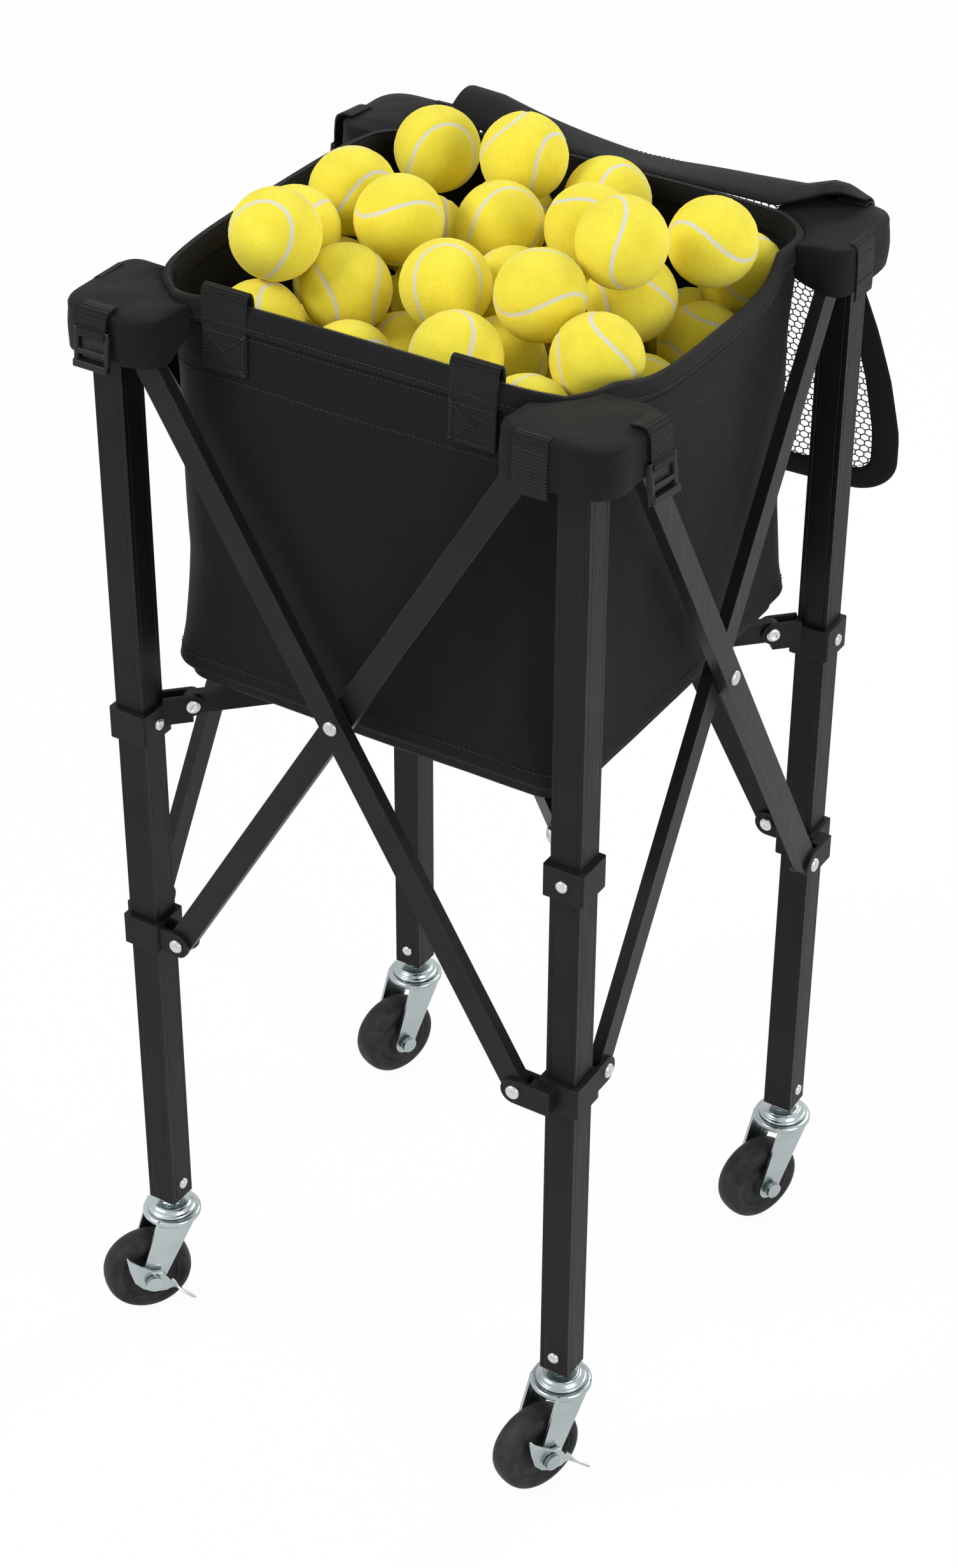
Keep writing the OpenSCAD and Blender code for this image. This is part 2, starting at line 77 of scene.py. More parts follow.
FLOOR_R, FLOOR_GLOW, SKY_LIGHT = 9.0, 0.95, 0.56
WHITE = (1.0, 1.0, 1.0, 1.0)
ring = [(FLOOR_R * cos(a), FLOOR_R * sin(a), 0.0)
        for a in np.linspace(0, 2 * pi, 96, endpoint=False)]
floor_mesh = bpy.data.meshes.new("floor")
floor_mesh.from_pydata(ring, [], [tuple(range(len(ring)))])
floor = placed("floor", floor_mesh)
floor_paint = bpy.data.materials.new("floor_paint")
floor_paint.use_nodes = True
tree = floor_paint.node_tree
tree.nodes.clear()
matt = put(tree, "BsdfDiffuse", {"Color": (0.9, 0.9, 0.9, 1.0)})
glow = put(tree, "Emission", {"Color": WHITE, "Strength": 1.0})
share = reckon(tree, "MULTIPLY", seen_directly(tree), FLOOR_GLOW)
both = put(tree, "MixShader", {0: share, 1: matt.outputs[0], 2: glow.outputs[0]})
put(tree, "OutputMaterial", {"Surface": both.outputs[0]})
floor_mesh.materials.append(floor_paint)

world = bpy.data.worlds.new("studio")
bpy.context.scene.world = world
world.use_nodes = True
tree = world.node_tree
tree.nodes.clear()
soft_sky = put(tree, "Background", {"Color": (0.94, 0.97, 1.0, 1.0), "Strength": SKY_LIGHT})
white_sky = put(tree, "Background", {"Color": WHITE, "Strength": 1.0})
both = put(tree, "MixShader", {0: seen_directly(tree), 1: soft_sky.outputs[0], 2: white_sky.outputs[0]})
put(tree, "OutputWorld", {"Surface": both.outputs[0]})


def lamp(name, at, aim, size, power):
    data = bpy.data.lights.new(name, "AREA")
    data.shape, data.size, data.energy = "DISK", size, power
    holder = placed(name, data)
    holder.location = at
    holder.rotation_euler = (Vector(aim) - Vector(at)).to_track_quat("-Z", "Y").to_euler()


lamp("key_left", (-1.9, -1.9, 2.9), (0, 0, 0.75), 1.3, 66)
lamp("fill_right", (2.6, -0.7, 1.7), (0, 0, 0.6), 1.6, 34)
lamp("rim_behind", (0.6, 2.6, 2.3), (0, 0, 0.8), 1.4, 32)

# Camera: a long lens above the front right corner, with the whole cart upright in the frame.
# It looks down at about 35 degrees, and leans by a third of a degree.
CAM_AT = (1.1285, -1.8512, 1.9897)
CAM_TURN, CAM_DIP, CAM_ROLL = radians(31.5), radians(34.57), radians(0.32)
LENS_MM = 75.32
side = Vector((cos(CAM_TURN), sin(CAM_TURN), 0))
level_rear = Vector((sin(CAM_TURN), -cos(CAM_TURN), 0))
rear = level_rear * cos(CAM_DIP) + Vector((0, 0, sin(CAM_DIP)))
upward = rear.cross(side)
across = side * cos(CAM_ROLL) + upward * sin(CAM_ROLL)
upright = upward * cos(CAM_ROLL) - side * sin(CAM_ROLL)
cam_data = bpy.data.cameras.new("camera")
cam_data.lens, cam_data.sensor_width, cam_data.sensor_fit = LENS_MM, 36.0, "AUTO"
cam_data.clip_start, cam_data.clip_end = 0.05, 50
camera = placed("camera", cam_data)
camera.matrix_world = Matrix.Translation(CAM_AT) @ Matrix((across, upright, rear)).transposed().to_4x4()
bpy.context.scene.camera = camera
bpy.context.scene.view_settings.view_transform = "Standard"


# Legs: square aluminium tubes, drawn, anodised brown-black and left satin.
# Their corners are rounded in the drawing, and rub bright first where the sliders run; the lighter colour along
# all their edges is partly that wear and partly painted highlight.
def new_group(name, outputs, inputs):
    """A group of shader nodes for values: its tree, what it is asked and what it gives."""
    tree = bpy.data.node_groups.new(name, "ShaderNodeTree")
    for label, value in inputs:
        socket = tree.interface.new_socket(name=label, in_out="INPUT", socket_type="NodeSocketFloat")
        socket.default_value = value
    for label in outputs:
        tree.interface.new_socket(name=label, in_out="OUTPUT", socket_type="NodeSocketFloat")
    return tree, tree.nodes.new("NodeGroupInput").outputs, tree.nodes.new("NodeGroupOutput").inputs


def use_group(tree, group, **values):
    made = tree.nodes.new("ShaderNodeGroup")
    made.node_tree = group
    for key, value in values.items():
        made.inputs[key].default_value = value
    return made.outputs


def between(tree, value, low=0.0, high=1.0, start=0.3, end=0.7):
    return put(tree, "MapRange", {"Value": value, 1: start, 2: end, 3: low, 4: high}).outputs[0]


# Lighter edges in patches: dust scuffs on the tyres, and partly wear, partly painted highlight on the hard
# finishes.
edge_wear_and_highlight, asked, given = new_group("edge_wear_and_highlight", ["Mask"], [("Radius", 0.0012), ("Breakup", 90.0)])
rounded = put(edge_wear_and_highlight, "Bevel", {"Radius": asked["Radius"]}, samples=4).outputs[0]
facing = put(edge_wear_and_highlight, "NewGeometry").outputs["Normal"]
agree = put(edge_wear_and_highlight, "VectorMath", {0: rounded, 1: facing}, operation="DOT_PRODUCT").outputs["Value"]
where = put(edge_wear_and_highlight, "TexCoord").outputs["Object"]
chips = put(edge_wear_and_highlight, "TexNoise", {"Vector": where, "Scale": asked["Breakup"], "Detail": 4.0}).outputs[0]
edge, patchy = between(edge_wear_and_highlight, agree, 0.0, 1.0, 0.985, 0.86), between(edge_wear_and_highlight, chips, 0.25, 1.0, 0.38, 0.62)
edge_wear_and_highlight.links.new(reckon(edge_wear_and_highlight, "MULTIPLY", edge, patchy), given["Mask"])

grain, asked, given = new_group("grain", ["Fine", "Broad"], [("Fine", 600.0), ("Broad", 14.0), ("Stretch", 1.0)])
where = put(grain, "TexCoord").outputs["Object"]
drawn = put(grain, "CombineXYZ", {0: 1.0, 1: 1.0, 2: asked["Stretch"]}).outputs[0]
along = put(grain, "VectorMath", {0: where, 1: drawn}, operation="MULTIPLY").outputs[0]
for size, vector, detail in (("Fine", along, 3.0), ("Broad", where, 4.0)):
    noise = put(grain, "TexNoise", {"Vector": vector, "Scale": asked[size], "Detail": detail})
    grain.links.new(noise.outputs[0], given[size])


def finish(name, **sockets):
    """A new material, with the named sockets of its shader set."""
    made = bpy.data.materials.new(name)
    made.use_nodes = True
    shader = made.node_tree.nodes["Principled BSDF"]
    for key, value in sockets.items():
        shader.inputs[key.replace("_", " ")].default_value = value
    return made, made.node_tree, shader


def blend_colours(tree, share, low, high):
    mix = put(tree, "Mix", data_type="RGBA", clamp_factor=True)
    tree.links.new(share, mix.inputs[0])
    for place, value in ((6, low), (7, high)):
        if isinstance(value, bpy.types.NodeSocket):
            tree.links.new(value, mix.inputs[place])
        else:
            mix.inputs[place].default_value = (*value, 1.0)
    return mix.outputs[2]


def paint(tree, shader, colour, rough=None):
    tree.links.new(colour, shader.inputs["Base Color"])
    if rough is not None:
        tree.links.new(rough, shader.inputs["Roughness"])


def relief(tree, shader, height, depth, strength=1.0, under=None):
    bump = put(tree, "Bump", {"Height": height, "Distance": depth, "Strength": strength})
    if under is not None:
        tree.links.new(under, bump.inputs["Normal"])
    tree.links.new(bump.outputs[0], shader.inputs["Normal"])
    return bump.outputs[0]


def hard_finish(name, dark, light, worn_and_highlit, rough, fine, depth, stretch=1.0, radius=0.0012, **sockets):
    """A hard surface: two close tones, fine grain in gloss and relief, and lighter edges, partly rubbed wear and
    partly painted highlight.
    """
    made, tree, shader = finish(name, **sockets)
    tone = use_group(tree, grain, Fine=fine, Broad=16.0, Stretch=stretch)
    # painted highlight: the edges are lightened, partly as rubbed wear and partly as painted highlight.
    edge_rub_and_highlight = use_group(tree, edge_wear_and_highlight, Radius=radius)
    body = blend_colours(tree, between(tree, tone["Broad"]), dark, light)
    paint(tree, shader, blend_colours(tree, edge_rub_and_highlight["Mask"], body, worn_and_highlit), between(tree, tone["Fine"], *rough))
    relief(tree, shader, tone["Fine"], depth)
    return made


def round_edges(made, width, steps=2, angle=30, keep_sharp=False):
    """Rounds the edges that turn by more than an angle, and keeps the faces between them flat."""
    soften = made.modifiers.new("rounded", "BEVEL")
    soften.width, soften.segments, soften.limit_method = width, steps, "ANGLE"
    soften.angle_limit = radians(angle)
    made.modifiers.new("level", "WEIGHTED_NORMAL").keep_sharp = keep_sharp


def dress(names, material, edge, steps=2):
    """Gives solids their finish and rounds their edges."""
    for name in names:
        solid = solids[name]
        solid.data.materials.clear()
        solid.data.materials.append(material)
        round_edges(solid, edge, steps, 35, True)


anodised = hard_finish("anodised_tube", (0.0064, 0.0053, 0.0046), (0.0097, 0.0081, 0.0072),
                       (0.0375, 0.0330, 0.0300), (0.40, 0.54), 900.0, 0.00003, stretch=0.02,
                       Specular_IOR_Level=0.15)
LEG_AXIS = 0.193
GROOVE_AT, GROOVE_HALF, GROOVE_DEEP = 0.0090, 0.0008, 0.0005
tree = anodised.node_tree
shader = tree.nodes["Principled BSDF"]
where = put(tree, "TexCoord")
split = put(tree, "SeparateXYZ", {0: where.outputs["Object"]})
grooves = []
for axis in (0, 1):
    off = split.outputs[axis]
    for line in (LEG_AXIS, GROOVE_AT):
        off = reckon(tree, "SUBTRACT", reckon(tree, "ABSOLUTE", off), line)
    grooves.append(put(tree, "MapRange", {"Value": reckon(tree, "ABSOLUTE", off), 1: 0.0, 2: GROOVE_HALF,
                                          3: -1.0, 4: 0.0}, interpolation_type="SMOOTHSTEP").outputs[0])
relief(tree, shader, reckon(tree, "ADD", *grooves), GROOVE_DEEP,
       under=shader.inputs["Normal"].links[0].from_socket)
dress([f"leg_{c}" for c in CORNERS], anodised, 0.0016, 3)


# Brackets, sliding collars and fixed collars: black nylon, moulded with a fine spark texture.
# Each is pushed over its leg, and carries the ends of two arms or a bag strut between ears.
def grey(value):
    return value, value, value


moulded = hard_finish("moulded_nylon", grey(0.0060), grey(0.0094), grey(0.0338), (0.44, 0.60), 1500.0, 0.00006,
                      Specular_IOR_Level=0.17)
dress([f"{n}_{c}" for c in CORNERS for n in ("top_bracket", "upper_collar", "slider")], moulded, 0.0009)

# Scissor arms and bag struts: flat aluminium bars, anodised with the legs, with full round ends.
# The arms of each face cross on a rivet, and the struts hold the bag's floor up.
bar = hard_finish("anodised_bar", (0.0071, 0.0060, 0.0054), (0.0109, 0.0092, 0.0083), (0.0450, 0.0398, 0.0360),
                  (0.36, 0.50), 900.0, 0.00003, stretch=0.03, Specular_IOR_Level=0.18)
dress([f"{n}_{f}" for f in FACES for n in ("outer_arm", "inner_arm")], bar, 0.0012)
dress([f"strut_{c}" for c in CORNERS], bar, 0.0012)

# Rivets and leg bolts: zinc-plated steel, with a domed head and the hollow that the set leaves.
# Each head sits on the moulded boss or on the arm that it closes.
zinc = hard_finish("zinc_plate", (0.56, 0.57, 0.58), (0.70, 0.715, 0.735), (0.86, 0.87, 0.88),
                   (0.20, 0.36), 420.0, 0.00002, stretch=0.25, Metallic=1.0)
dress([f"leg_bolts_{c}" for c in CORNERS], zinc, 0.0004)


def piece(name, points, faces, material, uv=None):
    """A mesh object from points and faces; uv has one pair for each corner of each face."""
    mesh = bpy.data.meshes.new(name)
    mesh.from_pydata([tuple(map(float, p)) for p in points], [], faces)
    if uv is not None:
        mesh.uv_layers.new(name="metres").data.foreach_set("uv", np.asarray(uv, np.float32).ravel())
    mesh.polygons.foreach_set("use_smooth", np.ones(len(mesh.polygons), bool))
    mesh.update()
    mesh.materials.append(material)
    return placed(name, mesh)


def grid(rows, columns, closed=False):
    """Faces between rows of points; closed joins the end of each row to its start."""
    return [(i * columns + j, i * columns + (j + 1) % columns, (i + 1) * columns + (j + 1) % columns,
             (i + 1) * columns + j) for i in range(rows - 1) for j in range(columns if closed else columns - 1)]


def lathe(profile, count, at, axis):
    """Points and faces of a turned shape: profile is (radius, height along the axis)."""
    axis = Vector(axis).normalized()
    first = axis.orthogonal().normalized()
    second = axis.cross(first)
    points = [Vector(at) + axis * h + (first * cos(a) + second * sin(a)) * r
              for r, h in profile for a in np.linspace(0, 2 * pi, count, endpoint=False)]
    return points, grid(len(profile), count, closed=True)


def joined(parts):
    points, faces = [], []
    for some, more in parts:
        faces += [tuple(i + len(points) for i in f) for f in more]
        points += list(some)
    return points, faces


def turned(k, p):
    """A point of the front left corner or of the front, carried round to corner or face k."""
    x, y, z = p
    for _ in range(k):
        x, y = -y, x
    return x, y, z


PIN_IN = 0.033
RIVET = [(6.0, 0.0), (6.0, 1.1), (5.6, 1.9), (4.6, 2.5), (3.3, 2.75), (2.7, 2.6), (2.3, 2.2), (0.05, 2.15)]
PAN_HEAD = [(4.9, 0.0), (4.9, 1.0), (4.5, 1.9), (3.3, 2.6), (2.2, 2.75), (1.7, 2.4), (1.2, 2.15), (0.03, 2.1)]


def in_metres(profile):
    return [(r / 1000, h / 1000) for r, h in profile]


def heads(name, body, places, profile=RIVET):
    """Domed heads on one body: places are (point on the boss, outward direction)."""
    made = piece(name, *joined([lathe(in_metres(profile), 20, at, out) for at, out in places]), zinc)
    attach(made, body)


def boss(k, plane_from, plane_to, z, swap):
    """Both ends of a clevis rivet of corner k, on its front or, swapped, on its side."""
    ends = []
    for plane, sign in ((plane_from, 1), (plane_to, -1)):
        x, y = -LEG_AXIS + PIN_IN, -LEG_AXIS - plane
        at, out = ((y, x, z), (-sign, 0, 0)) if swap else ((x, y, z), (0, -sign, 0))
        ends.append((turned(k, at), turned(k, out)))
    return ends


IN_ARM, OUT_ARM = (0.0148, -0.0018), (0.0268, 0.0102)
LOW_PIN, CROSSING, CROSSING_OUT, CROSSING_IN = 0.402, 0.671, 0.0235, 0.00135
STRUT_PIN, STRUT_Z, STRUT_HALF = 0.040, 0.609, 0.0073
UPPER_BOLT, FOOT_BOLT = (0.600, 0.0170), (0.132, 0.0127)
for k, c in enumerate(CORNERS):
    heads(f"slider_rivets_{c}", f"slider_{c}",
          boss(k, *IN_ARM, LOW_PIN, False) + boss(k, *OUT_ARM, LOW_PIN, True))
    diagonal = -LEG_AXIS + STRUT_PIN * sqrt(0.5)
    flank = STRUT_HALF * sqrt(0.5)
    heads(f"strut_rivets_{c}", f"leg_{c}", [(turned(k, (diagonal + s * flank, diagonal - s * flank, STRUT_Z)),
                                             turned(k, (s, -s, 0))) for s in (1, -1)])
    screws = [(turned(k, (-LEG_AXIS + s * half, -LEG_AXIS, z)), turned(k, (s, 0, 0)))
              for z, half in (UPPER_BOLT, FOOT_BOLT) for s in (1, -1)]
    heads(f"leg_screws_{c}", f"leg_{c}", screws, PAN_HEAD)
for k, f in enumerate(FACES):
    heads(f"crossing_rivet_{f}", f"outer_arm_{f}",
          [(turned(k, (0, -LEG_AXIS - out, CROSSING)), turned(k, (0, way, 0)))
           for out, way in ((CROSSING_OUT, -1), (CROSSING_IN, 1))])

# Casters: a pressed fork with a rolled crown under a capped ball race, all zinc-plated.
# Only the two front casters have a brake: a stamped lever on the axle, with a curled wing and a foot leaf.
plate = hard_finish("caster_plate", (0.33, 0.375, 0.38), (0.47, 0.52, 0.525), (0.66, 0.70, 0.70),
                    (0.16, 0.34), 260.0, 0.00003, stretch=0.3, Metallic=1.0)
dress([f"{n}_{c}" for c in CORNERS for n in ("caster_fork", "caster_stem", "caster_axle")], plate, 0.0007)
CROWN = [(22.9, -5.3), (24.3, -4.8), (24.9, -3.4), (24.8, -1.6), (24.1, -0.4), (22.6, 0.2), (20.4, 0.25),
         (19.6, 0.1)]
RACE = [(18.7, 0.4), (20.1, 0.6), (20.9, 1.5), (20.7, 2.7), (19.7, 3.4), (18.9, 3.5), (18.4, 4.2), (17.5, 5.6),
        (15.6, 7.0), (12.4, 7.7), (8.9, 7.9)]
crown_top = max(v.co.z for v in solids["caster_fork_fl"].data.vertices)
for k, c in enumerate(CORNERS):
    x, y, _ = turned(k, (-LEG_AXIS, -LEG_AXIS, 0))
    for name, body, profile in ((f"fork_crown_{c}", f"caster_{c}", CROWN), (f"race_cap_{c}", f"leg_{c}", RACE)):
        cover = piece(name, *lathe(in_metres(profile), 48, (x, y, crown_top), (0, 0, 1)), plate)
        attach(cover, body)
def axle_of(c):
    """The middle of a wheel's solid, and the level directions from the stem to it and out along its axle."""
    solid = np.array([v.co for v in solids[f"caster_wheel_{c}"].data.vertices])
    middle = (solid.min(0) + solid.max(0)) / 2
    x, y, _ = turned(CORNERS.index(c), (-LEG_AXIS, -LEG_AXIS, 0))
    back = (middle - (x, y, 0)) * (1, 1, 0)
    back /= np.linalg.norm(back)
    return middle, back, np.array((-back[1], back[0], 0))


LEVER_IN, LEVER_T = 19.6, 0.0016
LEVER_EDGE = [(21.5, 31), (21.2, 27), (19.5, 15.5), (15.8, 2), (9, -6.5), (-0.5, -12.2), (-11.5, -13.3),
              (-17, -11), (-17.5, -6.2), (-8.2, 8.5), (0.5, 11), (10.5, 19.5), (17.5, 26.5)]
CURL = [(0, 0), (0.5, 1.3), (1.8, 2.1), (3.4, 2.0), (4.4, 1.0)]
LEAF = [(-13.5, 19.8, -5.5, 5.2, 0.0), (-16.5, 20.3, -8.0, 5.0, 0.3), (-19.5, 21.5, -10.5, 5.0, 0.75),
        (-23.0, 23.0, -13.4, 5.6, 1.0), (-27.0, 24.6, -16.6, 6.0, 1.0), (-31.0, 26.0, -19.9, 5.2, 1.0),
        (-33.6, 26.7, -22.0, 3.4, 1.0), (-35.0, 27.0, -23.1, 0.8, 1.0)]
LEAF_ACROSS = (-1, -0.5, 0, 0.5, 1)
ON_EDGE, LAID_OUT = np.array((-0.66, 0.0, 0.75)), np.array((0.0, 0.905, 0.424))
for c in CORNERS[:2]:
    axle, back, outward = axle_of(c)

    def on_lever(x, y, z):
        return axle + (back * x + outward * y + np.array((0, 0, z))) / 1000

    blank = [on_lever(x, LEVER_IN, z) for x, z in LEVER_EDGE], [tuple(range(len(LEVER_EDGE)))]
    rolled_from = LEVER_EDGE[-4:] + LEVER_EDGE[:1]
    wing = [on_lever(x, LEVER_IN + dy, z + dz) for dy, dz in CURL for x, z in rolled_from]
    leaf = []
    for x, y, z, half, twist in LEAF:
        across_leaf = ON_EDGE * (1 - twist) + LAID_OUT * twist
        across_leaf *= half / np.linalg.norm(across_leaf)
        leaf += [on_lever(*(np.array((x, y, z)) + across_leaf * s)) for s in LEAF_ACROSS]
    lever = piece(f"brake_lever_{c}_stamped", *joined([blank, (wing, grid(len(CURL), len(rolled_from))),
                                                       (leaf, grid(len(LEAF), len(LEAF_ACROSS)))]), plate)
    gauge = lever.modifiers.new("gauge", "SOLIDIFY")
    gauge.thickness, gauge.offset = LEVER_T, 0.0
    round_edges(lever, 0.0004)
    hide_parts(f"brake_lever_{c}")
    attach(lever, f"brake_{c}")

# Wheels: solid rubber, moulded on a plain hub, with a round tread and a raised ring on each side.
# They turn on the axle between the fork's plates.
rubber, tree, shader = finish("wheel_rubber", Specular_IOR_Level=0.16)
tone = use_group(tree, grain, Fine=900.0, Broad=60.0)
scuff = use_group(tree, edge_wear_and_highlight, Radius=0.003, Breakup=160.0)
dusty = blend_colours(tree, between(tree, tone["Broad"], 0.0, 1.0, 0.42, 0.68), (0.0155, 0.0155, 0.016),
                      (0.034, 0.033, 0.033))
scuffed = blend_colours(tree, scuff["Mask"], dusty, (0.06, 0.059, 0.058))
paint(tree, shader, scuffed, between(tree, tone["Fine"], 0.46, 0.66))
relief(tree, shader, tone["Fine"], 0.00012)
WHEEL_R, TYRE_HALF, HUB_HALF, BORE_R = 0.038, 0.013, 0.0155, 0.00405
half_profile = [(BORE_R, HUB_HALF), (0.0112, HUB_HALF), (0.0119, HUB_HALF - 0.0007), (0.0124, HUB_HALF - 0.004),
                (0.0134, 0.0092), (0.0225, 0.0090), (0.0236, 0.0096), (0.0244, 0.0112), (0.0254, 0.0118),
                (0.0266, 0.0114), (0.0272, 0.0118), (0.0283, TYRE_HALF - 0.0002), (0.0305, TYRE_HALF),
                (0.0326, TYRE_HALF - 0.0004), (0.0345, 0.0116), (0.0360, 0.0098), (0.0371, 0.0073),
                (0.0377, 0.0044), (WHEEL_R, 0.0)]
tyre_profile = half_profile + [(r, -h) for r, h in half_profile[-2::-1]]
tyre_profile.append(tyre_profile[0])
for c in CORNERS:
    hub, _, axle_out = axle_of(c)
    wheel = piece(f"wheel_{c}", *lathe(tyre_profile, 72, hub, axle_out), rubber)
    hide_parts(f"caster_wheel_{c}")
    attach(wheel, f"wheel_{c}")

# Ball bag: black coated nylon, sewn as four walls and a floor, open at the top.
# It hangs by its corners and stands on the struts, and the balls push its walls out.
weave, asked, given = new_group("weave", ["Height"], [("Pitch", 0.0006)])
laid = put(weave, "UVMap", uv_map="metres")
split = put(weave, "SeparateXYZ", {0: laid.outputs[0]})
threads, rows = [], []
for axis in (0, 1):
    count = reckon(weave, "DIVIDE", split.outputs[axis], asked["Pitch"])
    centred = reckon(weave, "MULTIPLY_ADD", reckon(weave, "FRACT", count), 2.0, -1.0)
    threads.append(reckon(weave, "SUBTRACT", 1.0, reckon(weave, "MULTIPLY", centred, centred)))
    rows.append(reckon(weave, "FLOOR", count))
over = reckon(weave, "FLOORED_MODULO", reckon(weave, "ADD", *rows), 2.0)
height = put(weave, "Mix", {0: over, 2: threads[0], 3: threads[1]}, data_type="FLOAT").outputs[0]
weave.links.new(height, given["Height"])


def cloth_finish(name, dark, light, pitch, depth, rough, broad=9.0, **sockets):
    """Woven cloth: threads by the cut's own measure, slow changes of tone, painted shade between the threads, and
    a soft sheen.
    """
    made, tree, shader = finish(name, **sockets)
    threads = use_group(tree, weave, Pitch=pitch)
    tone = use_group(tree, grain, Fine=700.0, Broad=broad)
    ground = blend_colours(tree, between(tree, tone["Broad"]), dark, light)
    # painted shade and highlight: the colour is darkened in the valleys between threads and lightened on their
    # crests.
    shade = between(tree, threads["Height"], 0.62, 1.12, 0, 1)
    lit = put(tree, "HueSaturation", {"Color": ground, "Value": shade}).outputs[0]
    paint(tree, shader, lit, between(tree, tone["Fine"], *rough))
    relief(tree, shader, threads["Height"], depth)
    return made


def lengths(line):
    """How far along a line each of its points is."""
    return np.concatenate([[0], np.cumsum(np.linalg.norm(np.diff(line, axis=0), axis=1))])


def along_line(line, at):
    """The points of a line at some distances along it."""
    return np.column_stack([np.interp(at, lengths(line), line[:, i]) for i in range(line.shape[1])])


def sheet(name, rows, material, thick=0.0, closed=False):
    """A cloth surface through rows of points, with its UVs in metres, and thickened inwards."""
    p = np.asarray(rows, float)
    n, m = p.shape[:2]
    round_it = np.concatenate([p, p[:, :1]], 1) if closed else p
    u = np.concatenate([[0], np.cumsum(np.linalg.norm(np.diff(round_it, axis=1), axis=2).max(0))])
    v = np.concatenate([[0], np.cumsum(np.linalg.norm(np.diff(p, axis=0), axis=2).max(1))])
    uv = [(u[j + a], v[i + b]) for i in range(n - 1) for j in range(len(u) - 1)
          for a, b in ((0, 0), (1, 0), (1, 1), (0, 1))]
    made = piece(name, p.reshape(-1, 3), grid(n, m, closed), material, uv)
    if thick:
        solid = made.modifiers.new("thickness", "SOLIDIFY")
        solid.thickness, solid.offset, solid.use_even_offset = thick, -1.0, False
    return made


BAG_HALF, BAG_EDGE, BAG_TOP, FLOOR_LOW = 0.176, 0.646, 0.954, 0.6190
FACE_STEPS, TURN_STEPS = 30, 9


def outline(half, radii):
    """A square with four rounded corners, counter-clockwise: points, outward directions, places and faces.

    A place runs from -1 to 1 along its face, and ends in the middle of each corner.
    """
    points, outs, shares, sides = [], [], [], []
    for k in range(4):
        r = radii[k]
        for x in np.linspace(radii[k - 1] - half, half - r, FACE_STEPS):
            points.append(turned(k, (x, -half, 0))[:2])
            outs.append(turned(k, (0, -1, 0))[:2])
            shares.append(x / half)
            sides.append(k)
        for t in np.linspace(0, 1, TURN_STEPS + 1, endpoint=False)[1:]:
            d = (sin(t * pi / 2), -cos(t * pi / 2))
            points.append(turned(k, (half - r + r * d[0], -half + r + r * d[1], 0))[:2])
            outs.append(turned(k, (*d, 0))[:2])
            shares.append((1 if t < 0.5 else -1) * (1 - r / half * abs(2 * t - 1)))
            sides.append(k if t < 0.5 else (k + 1) % 4)
    return np.array(points), np.array(outs), np.array(shares), np.array(sides)


def waves(x, y, z, length, seed):
    """Slow, even waves in space, from -1 to 1, the same each run."""
    draw = np.random.default_rng(seed)
    total = 0
    for _ in range(5):
        d = draw.normal(size=3)
        d *= 2 * pi / (length * draw.uniform(0.7, 1.4)) / np.linalg.norm(d)
        total = total + np.sin(d[0] * x + d[1] * y + d[2] * z + draw.uniform(0, 6.28))
    return total / 3.2


BULGE, HEM_Z = 0.0085, 0.9050
MOUTH_LEAN = np.array([0.0, 0.010, 0.0, 0.013])
MOUTH_RISE = np.array([0.010, -0.012, 0.007, 0.010])
MOUTH_SPAN = np.array([1.0, 0.66, 1.0, 1.0])
WALL_ROUND, MOUTH_ROUND = 0.050, np.array([0.066, 0.032, 0.050, 0.042])


def bag_wall(z, lift=0.0):
    """The bag's wall at one level: bulged by the balls, creased below the corners, and loose at the mouth."""
    down = max(0.0, (BAG_TOP - z) / (BAG_TOP - BAG_EDGE))
    radii = np.interp(down, [0.2, 0.7, 0.9, 1], [WALL_ROUND, 0.052, 0.036, 0.020])
    radii = radii + (MOUTH_ROUND - WALL_ROUND) * max(0.0, 1 - down / 0.2)
    p, out, share, side = outline(BAG_HALF, radii)
    middle = np.clip(1 - (share / 0.93) ** 2, 0, 1)
    swell = BULGE * middle * sin(pi * min(1, down) ** 0.75) ** 0.8
    loose = np.clip(1 - (share / MOUTH_SPAN[side]) ** 4, 0, 1) * exp(-max(0.0, BAG_TOP - z) / 0.05)
    hem = 0.0012 * middle * exp(-((HEM_Z - z) / 0.004) ** 2)
    crease = 0.0
    for centre, lean, depth, width in ((-0.72, 0.28, 0.0042, 0.10), (0.70, -0.36, 0.0050, 0.11),
                                       (-0.40, -0.25, 0.0022, 0.13), (0.33, 0.20, 0.0024, 0.12)):
        fade = sin(pi * min(1, down)) * (0.4 + 0.6 * down)
        crease = crease + depth * fade * np.exp(-((share - centre - lean * (down - 0.5)) / width) ** 2)
    uneven = 0.0022 * waves(p[:, 0], p[:, 1], z, 0.105, 3) * sin(pi * min(1, down))
    reach = swell - hem - crease + uneven + MOUTH_LEAN[side] * loose + lift
    return np.column_stack([p + out * reach[:, None], z + MOUTH_RISE[side] * loose])


